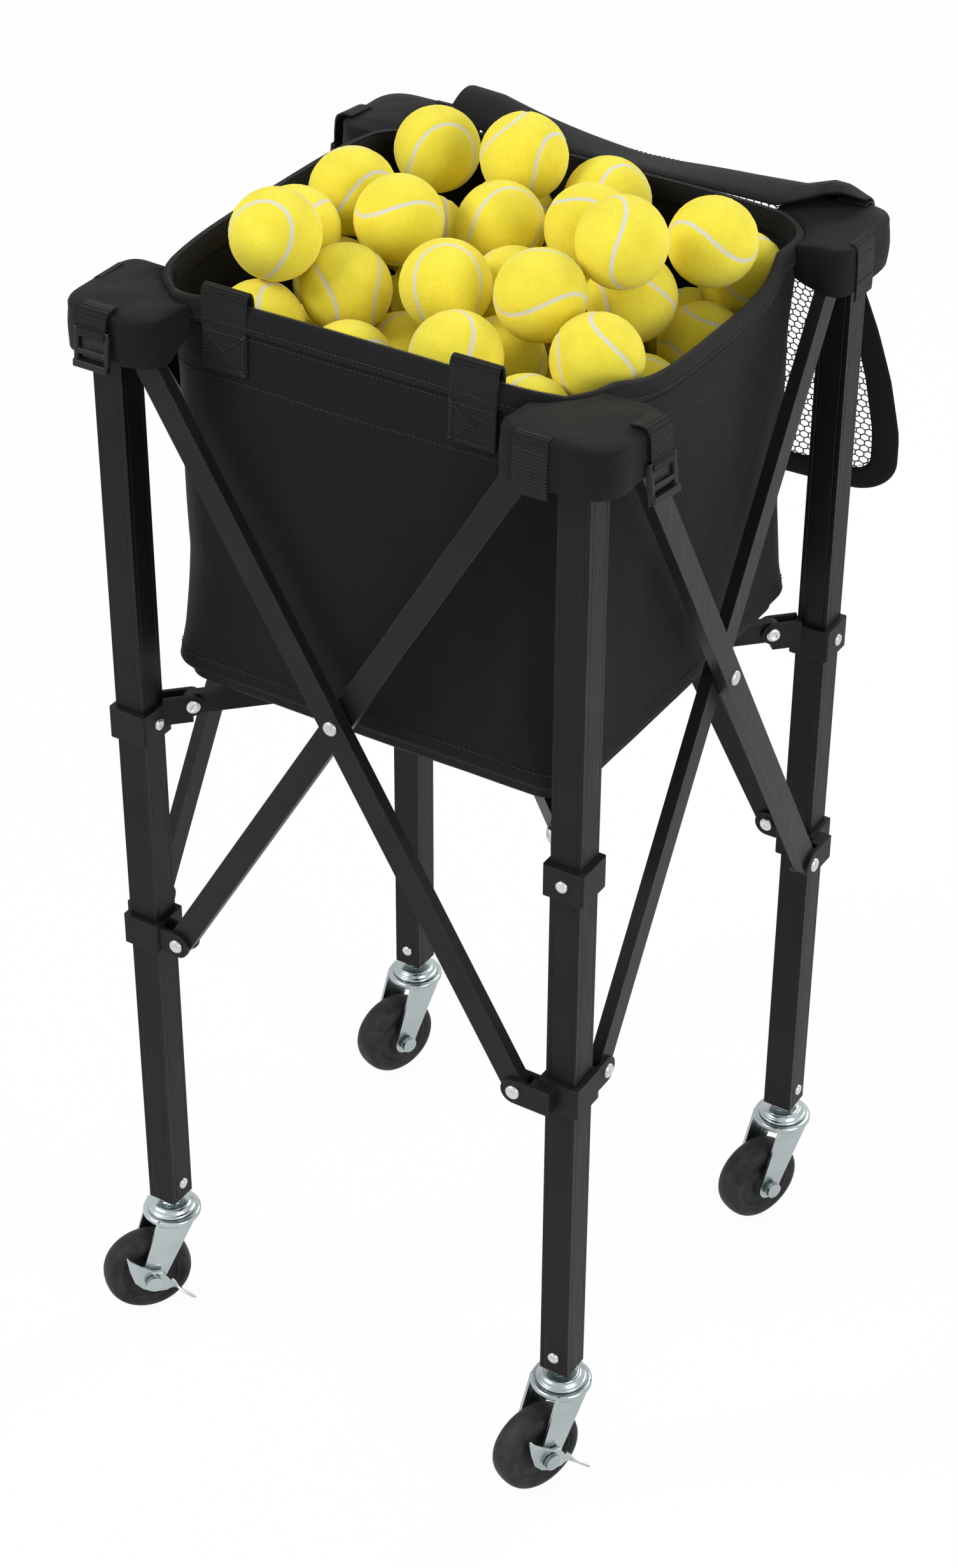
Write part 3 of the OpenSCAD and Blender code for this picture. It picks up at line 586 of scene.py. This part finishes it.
EDGE_ROUND, CLOTH_T = 0.007, 0.0016
wall_foot = bag_wall(BAG_EDGE + EDGE_ROUND)
bag_rows = []
for t in np.linspace(0.04, 0.96, 22):
    flat = wall_foot * (t, t, 0)
    flat[:, 2] = FLOOR_LOW + (BAG_EDGE - FLOOR_LOW) * max(0.0, 4 * t - 3) ** 2
    bag_rows.append(flat)
for a in np.linspace(0.1, 0.9, 5):
    lean = radians(90 * a)
    inset = 1 - EDGE_ROUND * (1 - sin(lean)) / BAG_HALF
    flat = wall_foot * (inset, inset, 0)
    flat[:, 2] = BAG_EDGE + EDGE_ROUND * (1 - cos(lean))
    bag_rows.append(flat)
bag_rows += [bag_wall(z) for z in np.linspace(BAG_EDGE + EDGE_ROUND, BAG_TOP, 46)]
nylon = cloth_finish("coated_nylon", (0.0043, 0.0041, 0.0048), (0.0066, 0.0062, 0.0072), 0.0007, 0.00016,
                     (0.58, 0.74), Sheen_Weight=0.03, Sheen_Roughness=0.5, Specular_IOR_Level=0.12)
bag = sheet("bag_cloth", bag_rows, nylon, CLOTH_T, closed=True)
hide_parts("bag_body")
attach(bag, "bag")


# Stitching: spun polyester thread, in one row along the hem and one above the floor.
# Each stitch stands a little proud of the cloth.
def stitches(path, pitch=0.0042, length=0.0029, radius=0.00042, closed=False):
    """Short thread beads along a path of points."""
    line = np.asarray(list(path) + ([path[0]] if closed else []), float)
    middles = np.arange(pitch / 2, lengths(line)[-1], pitch)
    parts = []
    for a, b in zip(along_line(line, middles - length / 2), along_line(line, middles + length / 2)):
        lie = Vector(b) - Vector(a)
        if lie.length > 1e-6:
            bead = [(radius * r, lie.length * h) for r, h in ((0.35, 0), (1, 0.22), (1, 0.78), (0.35, 1))]
            parts.append(lathe(bead, 6, a, lie))
    return joined(parts)


thread, tree, shader = finish("thread", Roughness=0.7, Sheen_Weight=0.05, Specular_IOR_Level=0.15)
tone = use_group(tree, grain, Fine=2500.0, Broad=40.0)
paint(tree, shader, blend_colours(tree, between(tree, tone["Fine"]), (0.018, 0.018, 0.021),
                                  (0.042, 0.041, 0.046)))


def sew(name, paths, body="bag", **how):
    made = piece(name, *joined([stitches(p, **how) for p in paths]), thread)
    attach(made, body)


sew("hem_stitches", [bag_wall(z, 0.0003) for z in (HEM_Z, BAG_EDGE + 0.016)], closed=True)

# Rim: a woven tape folded over the bag's mouth, with one half of the lid's coil zip on top.
# The tape is sewn through both faces of the cloth.
binding = cloth_finish("binding_tape", (0.0049, 0.0046, 0.0049), (0.0083, 0.0079, 0.0084), 0.0011, 0.0003,
                       (0.55, 0.70), Sheen_Weight=0.03, Sheen_Roughness=0.5, Specular_IOR_Level=0.12)
fold = [(0.0019, -0.0125), (0.0023, -0.0100), (0.0022, -0.0040), (0.0021, 0.0012), (0.0013, 0.0034),
        (-0.0006, 0.0044), (-0.0026, 0.0038), (-0.0038, 0.0016), (-0.0040, -0.0040), (-0.0040, -0.0100),
        (-0.0035, -0.0128)]
rim = sheet("rim_tape", [bag_wall(BAG_TOP + h, o) for o, h in fold], binding, closed=True)
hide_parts("bag_rim")
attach(rim, "bag")
sew("rim_stitches", [bag_wall(BAG_TOP + h, o) for h, o in ((-0.0085, 0.0026), (-0.0160, 0.0004))],
    closed=True, pitch=0.0036)
COIL_PITCH, COIL_WIRE, COIL_W = 0.0019, 0.00055, 0.0034
coil_bead = [(0.0002, 0), (COIL_WIRE, 0.0004), (COIL_WIRE, COIL_W - 0.0004), (0.0002, COIL_W)]
coil = bag_wall(BAG_TOP + 0.0040, -0.0020)
coil = np.vstack([coil, coil[:1]])
around = lengths(coil)[-1]
starts = np.arange(0, around - 0.0008, COIL_PITCH)
teeth = []
for here, ahead in zip(along_line(coil, starts), along_line(coil, (starts + 0.0004) % around)):
    outward = (Vector(ahead) - Vector(here)).normalized().cross(Vector((0, 0, 1)))
    teeth.append(lathe(coil_bead, 6, Vector(here) + outward * 0.0016 - Vector((0, 0, 0.0003)), -outward))
nylon_coil = hard_finish("zip_nylon", grey(0.008), grey(0.014), grey(0.04), (0.36, 0.5), 1800.0, 0.00003,
                         Specular_IOR_Level=0.3)
zip_coil = piece("zip_coil", *joined(teeth), nylon_coil)
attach(zip_coil, "bag")

# Corner pockets: the same nylon, sewn as a cap that drops over each leg top.
# A piped seam joins the top to the skirt, and the skirt's ends tuck in against the bag.
POCKET_FAR, POCKET_NEAR, POCKET_TOP, POCKET_LOW = 0.2243, 0.2172, 0.9596, 0.9240
POCKET_IN, MOUTH_HALF, POCKET_T, PIPING_R = 0.139, 0.1785, 0.0017, 0.0011
SKIRT_TOP, TUCK_DROP = POCKET_TOP - 0.0026, 0.0025


def rounded_path(corners, radii, step=0.0022):
    """An open path of straight runs with rounded corners, at even steps."""
    line = [Vector(corners[0])]
    for before, here, after, r in zip(corners, corners[1:], corners[2:], radii):
        h = Vector(here)
        a, b = (Vector(before) - h).normalized(), (Vector(after) - h).normalized()
        line += [h + a * r * (1 - t) ** 2 + b * r * t ** 2 for t in np.linspace(0, 1, 9)]
    line = np.array([tuple(p) for p in line + [Vector(corners[-1])]])
    whole = lengths(line)[-1]
    return along_line(line, np.linspace(0, whole, int(whole / step)))


for k, c in enumerate(CORNERS):
    mouth_r = MOUTH_ROUND[k - 1] + MOUTH_HALF - BAG_HALF
    arc_c = mouth_r - MOUTH_HALF
    swing = asin((POCKET_IN + arc_c) / mouth_r)
    end = arc_c - mouth_r * cos(swing)
    skirt_path = rounded_path([(end, -POCKET_IN), (-POCKET_NEAR, -POCKET_IN), (-POCKET_NEAR, -POCKET_FAR),
                               (-POCKET_IN, -POCKET_FAR), (-POCKET_IN, end)], [0.016, 0.024, 0.020])
    tangent = np.gradient(skirt_path, axis=0)
    tangent /= np.linalg.norm(tangent, axis=1)[:, None]
    skirt_out = np.column_stack([tangent[:, 1], -tangent[:, 0]])
    run = np.linspace(0, 1, len(skirt_path))
    tuck = np.clip(1 - np.minimum(run, 1 - run) / 0.16, 0, 1) ** 1.5
    angles = pi + swing + (pi / 2 - 2 * swing) * run
    inner_edge = arc_c + mouth_r * np.column_stack([np.cos(angles), np.sin(angles)])
    rows = []
    for t in np.linspace(0, 1, 9):
        flat = inner_edge + (skirt_path - inner_edge) * t
        crown = 0.0022 * sin(pi * t) * np.sin(pi * run) - 0.0030 * (1 - t) ** 2
        sink = 0.0009 * waves(flat[:, 0] + 2 * k, flat[:, 1], 0, 0.035, 20 + k) * sin(pi * t)
        rows.append(np.column_stack([flat, POCKET_TOP - 0.0012 + crown + sink - TUCK_DROP * tuck * t]))
    rows.append(np.column_stack([skirt_path + skirt_out * 0.0006, SKIRT_TOP - TUCK_DROP * tuck]))
    for t in np.linspace(0.12, 1, 11):
        ease = 0.0011 * sin(pi * t) + 0.0012 * t - 0.004 * tuck * t
        ripple = 0.0013 * waves(skirt_path[:, 0] + 3 * k, skirt_path[:, 1], 0.02 * t, 0.030, 40 + k) * t
        z = SKIRT_TOP - (SKIRT_TOP - POCKET_LOW) * t
        hem_line = z - 0.0012 * t * np.sin(2 * pi * run + k) + 0.007 * tuck * t
        rows.append(np.column_stack([skirt_path + skirt_out * (ease + ripple)[:, None], hem_line]))
    carried = [[turned(k, p) for p in row] for row in rows]
    pocket = sheet(f"corner_pocket_{c}", carried, nylon, POCKET_T)
    if k == 0:
        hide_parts("corner_pockets")
    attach(pocket, "bag")
    seam = [Vector(turned(k, (*(p + o * 0.0009), SKIRT_TOP + 0.0010 - TUCK_DROP * d)))
            for p, o, d in zip(skirt_path, skirt_out, tuck)]
    cord = []
    for before, here, after in zip(seam[:1] + seam, seam, seam[1:] + seam[-1:]):
        cord += lathe([(PIPING_R, 0)], 8, here, after - before)[0]
    welt = piece(f"pocket_piping_{c}", cord, grid(len(seam), 8, closed=True), binding)
    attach(welt, "bag")
    sew(f"pocket_stitches_{c}", [carried[-2][4:-4], carried[10][2:-2]], pitch=0.0034, length=0.0024,
        radius=0.00034)

# Handle straps: ribbed polyester webbing that runs from the front wall over the rim and down inside.
# The outer end is sewn down with a stitched box and cross.
webbing, tree, shader = finish("webbing", Sheen_Weight=0.04, Sheen_Roughness=0.45, Specular_IOR_Level=0.15)
threads = use_group(tree, weave, Pitch=0.0011)
laid = put(tree, "UVMap", uv_map="metres")
split = put(tree, "SeparateXYZ", {0: laid.outputs[0]})
RIB = 0.0026
ribs = reckon(tree, "SINE", reckon(tree, "MULTIPLY", split.outputs[1], 2 * pi / RIB))
weft = reckon(tree, "MULTIPLY_ADD", ribs, 1.6, threads["Height"])
# painted shade and highlight: the webbing is coloured darker in the grooves between ribs and lighter on their
# crests, by the rib height.
rib_light_and_shade = blend_colours(tree, between(tree, weft, 0.0, 1.0, -1.2, 2.2), (0.0035, 0.0035, 0.0036),
                       (0.0125, 0.0122, 0.0125))
tone = use_group(tree, grain, Fine=900.0, Broad=30.0)
paint(tree, shader, rib_light_and_shade, between(tree, tone["Fine"], 0.5, 0.68))
relief(tree, shader, weft, 0.00045)


def strap(name, rows, thick):
    """Webbing on the bag, through rows of points across its width."""
    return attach(sheet(name, rows, webbing, thick), "bag")


ACROSS = (-1, -0.94, -0.8, -0.5, -0.2, 0.2, 0.5, 0.8, 0.94, 1)


def smooth_line(points, step):
    """A flowing line through points, at even steps."""
    p = np.asarray(points, float)
    line = []
    for i in range(len(p) - 1):
        a, b, c, d = p[max(i - 1, 0)], p[i], p[i + 1], p[min(i + 2, len(p) - 1)]
        for t in np.linspace(0, 1, 12, endpoint=False):
            line.append(0.5 * (2 * b + (c - a) * t + (2 * a - 5 * b + 4 * c - d) * t * t
                               + (3 * b - a - 3 * c + d) * t ** 3))
    line = np.array(line + [p[-1]])
    whole = lengths(line)[-1]
    return along_line(line, np.linspace(0, whole, max(3, int(whole / step))))


STRAP_W, STRAP_T, STRAP_LOW = 0.038, 0.0019, 0.9115
OVER_RIM = ((-0.0046, -0.0040), (-0.0048, 0.0040), (-0.0022, 0.0098), (0.0030, 0.0104), (0.0062, 0.0040),
            (0.0064, -0.0080), (0.0064, -0.0250), (0.0063, -0.0420))


def front_at(x, level, off):
    """A point on the front wall, off outwards, at x and at one level of the cloth."""
    loop = bag_wall(level, off)
    loop = loop[loop[:, 1] < -BAG_HALF / 2]
    loop = loop[np.argsort(loop[:, 0])]
    return np.array([x, np.interp(x, loop[:, 0], loop[:, 1]), np.interp(x, loop[:, 0], loop[:, 2])])


for x0, label in ((-0.107, "left"), (0.098, "right")):
    crest = front_at(x0, BAG_TOP + 0.0044, -0.0008)
    path = [front_at(x0, z, 0.0026)[1:] for z in np.linspace(STRAP_LOW, BAG_TOP - 0.012, 7)]
    path += [crest[1:] + d for d in OVER_RIM]
    rows = [[(x0 + w * STRAP_W / 2, y + 0.00025 * (1 - abs(w)) ** 2, z) for w in ACROSS]
            for y, z in smooth_line(path, 0.0018)]
    handle = strap(f"handle_strap_{label}", rows, STRAP_T)
    if label == "left":
        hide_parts("handle_straps")
    low, high, half = STRAP_LOW + 0.003, STRAP_LOW + 0.027, STRAP_W / 2 - 0.0025
    box = [(-half, low), (half, low), (half, high), (-half, high), (-half, low)]
    lines = [smooth_line(np.repeat(line, 2, axis=0), 0.001)
             for line in (box, [(-half, low), (half, high)], [(half, low), (-half, high)])]
    sew(f"strap_stitches_{label}", [[front_at(x0 + a, z, 0.0029) for a, z in line] for line in lines],
        pitch=0.0031, length=0.0023, radius=0.00038)

# Corner straps and buckles: each pocket is drawn tight round its leg by webbing.
# The wide face of a corner carries a moulded ladder buckle, and the narrow face the strap's sewn tab.
BUCKLE_X, BUCKLE_TURN, BUCKLE_Z = (0.009, 0.032), (0.0, 14.0), (0.9345, 0.9225)
BUCKLE_W, BUCKLE_H, BUCKLE_T, RAIL = 0.030, 0.030, 0.0060, 0.0040
TAB_X, TAB_W, TAPE_T = 0.026, 0.027, 0.0016
buckle_nylon = hard_finish("buckle_nylon", grey(0.0064), grey(0.0101), grey(0.0375), (0.36, 0.50), 1400.0,
                           0.00004, Specular_IOR_Level=0.3)


def block(low, high, edge=0.0008):
    """Points and faces of a block with chamfered edges along its length."""
    (x0, y0, z0), (x1, y1, z1) = low, high
    ring = [(x0 + edge, y0), (x1 - edge, y0), (x1, y0 + edge), (x1, y1 - edge), (x1 - edge, y1), (x0 + edge, y1),
            (x0, y1 - edge), (x0, y0 + edge)]
    return [(x, y, z) for z in (z0, z1) for x, y in ring], [
        tuple(range(7, -1, -1)), tuple(range(8, 16)), *grid(2, 8, closed=True)]


for k, c in enumerate(CORNERS):
    def on_side(x, o, z, swap, k=k):
        """A point by its distance along a face from the leg axis and its distance out from the axis."""
        x, y = -LEG_AXIS + x, -LEG_AXIS - o
        return turned(k, (y, x, z) if swap else (x, y, z))

    near = POCKET_NEAR - LEG_AXIS + 0.0024
    tab = smooth_line([(near - 0.0065, POCKET_TOP + 0.0016), (near - 0.0020, POCKET_TOP + 0.0012),
                       (near + 0.0010, POCKET_TOP - 0.0030), (near + 0.0018, POCKET_TOP - 0.014),
                       (near + 0.0022, POCKET_LOW + 0.006), (near + 0.0018, POCKET_LOW - 0.0075)], 0.0016)
    tab_rows = [[on_side(TAB_X + w * TAB_W / 2, o, z, True) for w in ACROSS] for o, z in tab]
    tab_piece = strap(f"corner_tab_{c}", tab_rows, TAPE_T)
    sew(f"tab_stitches_{c}", [[on_side(TAB_X + w * TAB_W * 0.44, near + 0.0024, z, True)
                               for w in np.linspace(-1, 1, 12)]
                              for z in (POCKET_TOP - 0.0085, POCKET_LOW + 0.0070)],
        pitch=0.0031, length=0.0023, radius=0.00036)
    x0, z0, swing = BUCKLE_X[k % 2], BUCKLE_Z[k % 2], radians(BUCKLE_TURN[k % 2])
    far = POCKET_FAR - LEG_AXIS + 0.0030
    half, top, low = BUCKLE_W / 2, z0 + BUCKLE_H / 2, z0 - BUCKLE_H / 2

    def on_buckle(w, o, z):
        return on_side(x0 + w * cos(swing) + o * sin(swing) * 0.5,
                       far + o + (half + w) * sin(swing) * 0.55, z, False)

    lead = [(-0.0125, POCKET_TOP + 0.0020), (-0.0045, POCKET_TOP + 0.0024), (0.0004, POCKET_TOP - 0.0006),
            (0.0020, (POCKET_TOP + top) / 2), (0.0026, top + 0.0005), (0.0046, top - 0.0022),
            (0.0044, top - 0.0062), (0.0018, top - 0.0066)]
    tail = [(0.0010, low + 0.012), (0.0016, low + 0.004), (0.0012, low - 0.0035)]
    for name, line in ((f"corner_strap_{c}", lead), (f"corner_tail_{c}", tail)):
        line = smooth_line(line, 0.0014)
        strap(name, [[on_buckle(w * (half - 0.0030), o, z) for w in ACROSS] for o, z in line], TAPE_T)
    parts = [block((w, 0.0004, low), (w + RAIL, BUCKLE_T - 0.001, top)) for w in (-half, half - RAIL)]
    parts += [block((-half, inner, foot), (half, BUCKLE_T + outer, head)) for inner, outer, foot, head in (
        (0.0010, -0.0014, top - 0.0042, top), (0.0014, -0.0014, low + 0.0095, low + 0.0135),
        (0.0014, 0.0006, low, low + 0.0052))]
    parts.append(block((-half + RAIL, 0.0004, low + 0.0060), (half - RAIL, 0.0020, top - 0.0040)))
    points, faces = joined(parts)
    points = [on_buckle(w, o + 0.10 * (top - z), z) for w, o, z in points]
    buckle = piece(f"buckle_{c}", points, faces, buckle_nylon)
    round_edges(buckle, 0.0006)
    if k == 0:
        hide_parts("buckles")
        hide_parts("corner_straps")
    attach(buckle, "bag")

# Lid: a net panel with a folded cloth border, zipped to the back of the rim and hanging behind.
# The strip above it rises in loose folds at both ends, and the panel's lower right corner flares out.
LID_W, LID_L, LID_BORDER, STRIP_L = 0.352, 0.272, 0.019, 0.062
lid_line = smooth_line([(0.1792, 0.9640), (0.1850, 0.9668), (0.1960, 0.9675), (0.2100, 0.9665), (0.2240, 0.9630),
                        (0.2370, 0.9520), (0.2460, 0.9330), (0.2530, 0.9050), (0.2600, 0.8650), (0.2660, 0.8200),
                        (0.2720, 0.7700), (0.2780, 0.7200), (0.2810, 0.6850), (0.2820, 0.6500)], 0.001)
CREST = ((-0.160, 0.010), (-0.150, 0.014), (-0.122, 0.014), (-0.091, 0.008), (-0.047, 0.0), (0.0, -0.008),
         (0.03, -0.008), (0.10, -0.002), (0.145, 0.003), (0.168, 0.012), (0.180, 0.012), (0.195, 0.006),
         (0.210, 0.001))
RIGHT_EDGE = ((-0.062, 0.80), (-0.03, 1.14), (0.0, 1.12), (0.05, 1.04), (0.08, 1.03), (0.12, 1.10), (0.165, 1.16),
              (0.215, 1.20), (0.272, 1.19))
LEFT_EDGE = ((-0.062, 0.86), (0.0, 0.88), (0.06, 0.93), (0.272, 0.97))


def lid_at(a, b, off=0.0):
    """A point of the hanging lid: a across from its middle, b down from its top edge, off outwards."""
    at = b + STRIP_L
    (y, z), (next_y, next_z) = along_line(lid_line, (at, at + 0.002))
    ny, nz = -(next_z - z) / 0.002, (next_y - y) / 0.002
    x = a * float(np.interp(b, *zip(*(RIGHT_EDGE if a > 0 else LEFT_EDGE))))
    fall = min(1, max(0, b / LID_L))
    ripple = 0.0035 * sin(24 * a + 8 * b + 0.6) * min(1, max(0, at / 0.09))
    ripple += 0.0045 * sin(15 * b - 1.0) * (a / 0.16) * fall
    rise = sin(pi * min(1, at / 0.080)) * float(np.interp(x, *zip(*CREST)))
    return x, y + ny * (off + ripple), z + nz * (off + ripple) + rise


def lid_loop(inset, radius):
    """A rounded rectangle inside the lid's outline, as (across, down) pairs at matching steps."""
    w, l = LID_W / 2 - inset, LID_L - 2 * inset
    loop, dense = [], []
    middles = ((w - radius, l - radius), (radius - w, l - radius), (radius - w, radius), (w - radius, radius))
    for quarter, (cx, cy) in enumerate(middles):
        for t in np.linspace(0, 90, 12):
            d = radians(90 * quarter + t)
            loop.append((cx + radius * cos(d), inset + cy + radius * sin(d)))
    for i, (p, q) in enumerate(zip(loop, loop[1:] + loop[:1])):
        for t in np.linspace(0, 1, 22 if i % 12 == 11 else 1, endpoint=False):
            dense.append((p[0] + (q[0] - p[0]) * t, p[1] + (q[1] - p[1]) * t))
    return dense


outer_half = [(0.0000, 0.0), (0.0006, 0.0012), (0.0030, 0.0017), (0.0095, 0.0019), (0.0160, 0.0016),
              (0.0185, 0.0010), (LID_BORDER, 0.0)]
profile = outer_half + [(i, -off) for i, off in outer_half[-2::-1]]
border_rows = [[lid_at(a, b, off) for a, b in lid_loop(i, max(0.012, 0.032 - i))] for i, off in profile]
border = sheet("lid_border", border_rows, nylon, closed=True)
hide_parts("lid_binding")
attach(border, "lid")
strip_rows = [[lid_at(a, b) for a in np.linspace(-LID_W / 2 + 0.002, LID_W / 2 - 0.002, 110)]
              for b in np.linspace(-STRIP_L, 0.008, 30)]
strip = sheet("lid_strip", strip_rows, nylon, CLOTH_T)
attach(strip, "lid")
sew("lid_stitches", [[lid_at(a, b, 0.0022) for a, b in lid_loop(i, 0.025)] for i in (0.0030, 0.0160)],
    body="lid", closed=True, pitch=0.0040)

# Net: knitted polyester with six-sided holes, caught in the border's fold.
# Its strands are round and its knots slightly thicker.
HOLE, STRAND, CAUGHT = 0.0062, 0.0013, 0.004
cell_r = HOLE / sqrt(3)
net_top = LID_BORDER - CAUGHT
net_half, net_end = LID_W / 2 - net_top, LID_L - net_top
points, faces, known = [], [], {}
columns = int(2 * net_half / HOLE)
lines = int((net_end - net_top) / (1.5 * cell_r))
for j in range(lines):
    for i in range(columns):
        a0 = -net_half + HOLE * (i + 0.5 + 0.5 * (j % 2))
        b0 = net_top + cell_r * (1 + 1.5 * j)
        if a0 + HOLE / 2 > net_half or b0 + cell_r > net_end:
            continue
        cell = []
        for t in range(6):
            d = radians(60 * t + 30)
            key = (round((a0 + cell_r * cos(d)) * 1e5), round((b0 + cell_r * sin(d)) * 1e5))
            beside = [(key[0] + m, key[1] + n) for m in (-1, 0, 1) for n in (-1, 0, 1)]
            key = next((q for q in beside if q in known), key)
            if key not in known:
                known[key] = len(points)
                points.append(lid_at(key[0] / 1e5, key[1] / 1e5))
            cell.append(known[key])
        faces.append(tuple(cell))
net_yarn, tree, shader = finish("net_yarn", Roughness=0.65, Specular_IOR_Level=0.15)
tone = use_group(tree, grain, Fine=3000.0, Broad=60.0)
paint(tree, shader, blend_colours(tree, between(tree, tone["Fine"]), (0.010, 0.010, 0.012),
                                  (0.028, 0.028, 0.032)))
relief(tree, shader, tone["Fine"], 0.0001)
net = piece("lid_net_cloth", points, faces, net_yarn)
wire = net.modifiers.new("strands", "WIREFRAME")
wire.thickness, wire.use_even_offset, wire.use_boundary, wire.use_relative_offset = STRAND, False, True, False
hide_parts("lid_net")
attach(net, "lid")

# Balls: pressed rubber cores in two dumb-bell panels of yellow felt, with a pale seam let into the felt.
# They lie as they were tipped in, each turned its own way.
source = solids["balls"].data
where = np.array([v.co for v in source.vertices], np.float32)
_, merged = np.unique(np.round(where, 5), axis=0, return_inverse=True)
merged = merged.ravel()
ends = np.zeros(len(source.edges) * 2, np.int32)
source.edges.foreach_get("vertices", ends)
group = np.arange(merged.max() + 1)
pairs = merged[ends.reshape(-1, 2)]
while True:
    lower = np.minimum(group[pairs[:, 0]], group[pairs[:, 1]])
    before = group.copy()
    np.minimum.at(group, pairs[:, 0], lower)
    np.minimum.at(group, pairs[:, 1], lower)
    group = group[group]
    if (group == before).all():
        break
island = group[merged]
centres = np.array([(where[island == g].min(0) + where[island == g].max(0)) / 2 for g in np.unique(island)])
centres = centres[np.lexsort((centres[:, 0], centres[:, 1], centres[:, 2]))]
BALL_R, SEAM_HALF, SEAM_DEEP = 0.0335, 0.0018, 0.00055
SEAM_A = 0.70
t = np.linspace(0, 2 * pi, 1440, endpoint=False)
seam_line = np.column_stack([SEAM_A * np.cos(t) + (1 - SEAM_A) * np.cos(3 * t),
                             SEAM_A * np.sin(t) - (1 - SEAM_A) * np.sin(3 * t),
                             2 * sqrt(SEAM_A * (1 - SEAM_A)) * np.sin(2 * t)])
seam_side = np.cross(seam_line, np.roll(seam_line, -1, axis=0) - seam_line)
seam_side /= np.linalg.norm(seam_side, axis=1)[:, None]


def ball_skin(n):
    """A cube-based sphere of n steps a side: directions, faces and signed distance from the seam."""
    at = np.tan(np.linspace(-pi / 4, pi / 4, n + 1))
    directions, faces, known = [], [], {}
    for axis in range(3):
        for sign in (-1, 1):
            index = np.zeros((n + 1, n + 1), int)
            for i in range(n + 1):
                for j in range(n + 1):
                    p = np.zeros(3)
                    p[axis], p[(axis + 1) % 3], p[(axis + 2) % 3] = sign, at[i] * sign, at[j]
                    key = tuple(np.round(p, 6))
                    if key not in known:
                        known[key] = len(directions)
                        directions.append(p / np.linalg.norm(p))
                    index[i, j] = known[key]
            for i in range(n):
                for j in range(n):
                    faces.append((index[i, j], index[i + 1, j], index[i + 1, j + 1], index[i, j + 1]))
    directions = np.array(directions)
    nearest = np.argmax(directions @ seam_line.T, axis=1)
    signed = np.sum((directions - seam_line[nearest]) * seam_side[nearest], axis=1)
    arc = np.arccos(np.clip(np.sum(directions * seam_line[nearest], axis=1), -1, 1))
    return directions, faces, np.sign(signed) * arc * BALL_R


draw = np.random.default_rng(41)
fine_skin, coarse_skin = ball_skin(22), ball_skin(9)
SHOWN_FROM = 0.86
points, faces, seam = [], [], []
count = 0
for centre in centres:
    directions, sides, signed = fine_skin if centre[2] > SHOWN_FROM else coarse_skin
    q = draw.normal(size=4)
    q /= np.linalg.norm(q)
    turn = np.array(Matrix.Rotation(2 * acos(q[0]), 3, Vector(q[1:]).normalized()))
    sunk = SEAM_DEEP * np.clip(1.6 - np.abs(signed) / SEAM_HALF, 0, 1)
    fuzz = draw.normal(0, 0.00009, len(directions))
    points.append(centre + (directions @ turn.T) * (BALL_R - 0.0001 - sunk + fuzz)[:, None])
    faces += [tuple(i + count for i in f) for f in sides]
    seam.append(signed)
    count += len(directions)
felt, tree, shader = finish("ball_felt", Sheen_Weight=0.25, Sheen_Roughness=0.6, Specular_IOR_Level=0.15,
                            Sheen_Tint=(1.0, 0.95, 0.45, 1.0))
signed = put(tree, "Attribute", attribute_name="seam", attribute_type="GEOMETRY").outputs["Fac"]
nap = use_group(tree, grain, Fine=1500.0, Broad=55.0)
frayed = reckon(tree, "MULTIPLY_ADD", nap["Fine"], 0.0012, reckon(tree, "ABSOLUTE", signed))
in_seam = between(tree, frayed, 1.0, 0.0, SEAM_HALF - 0.0001, SEAM_HALF + 0.0008)
yellow = blend_colours(tree, between(tree, nap["Broad"]), (0.86, 0.66, 0.006), (0.95, 0.80, 0.03))
# pale fuzz specks on the nap, partly the felt's pale fibres and partly painted highlight.
fuzz_and_highlight = blend_colours(tree, between(tree, nap["Fine"], 0.0, 1.0, 0.35, 0.75), yellow, (0.97, 0.88, 0.13))
seamed = blend_colours(tree, in_seam, fuzz_and_highlight, (0.74, 0.72, 0.60))
paint(tree, shader, seamed, between(tree, in_seam, 0.95, 0.62, 0, 1))
relief(tree, shader, nap["Fine"], 0.0009, 0.7)
balls = piece("felt_balls", np.vstack(points), faces, felt)
seam_distance = balls.data.attributes.new("seam", "FLOAT", "POINT")
seam_distance.data.foreach_set("value", np.concatenate(seam).astype(np.float32))
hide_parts("balls")
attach(balls, "bag")
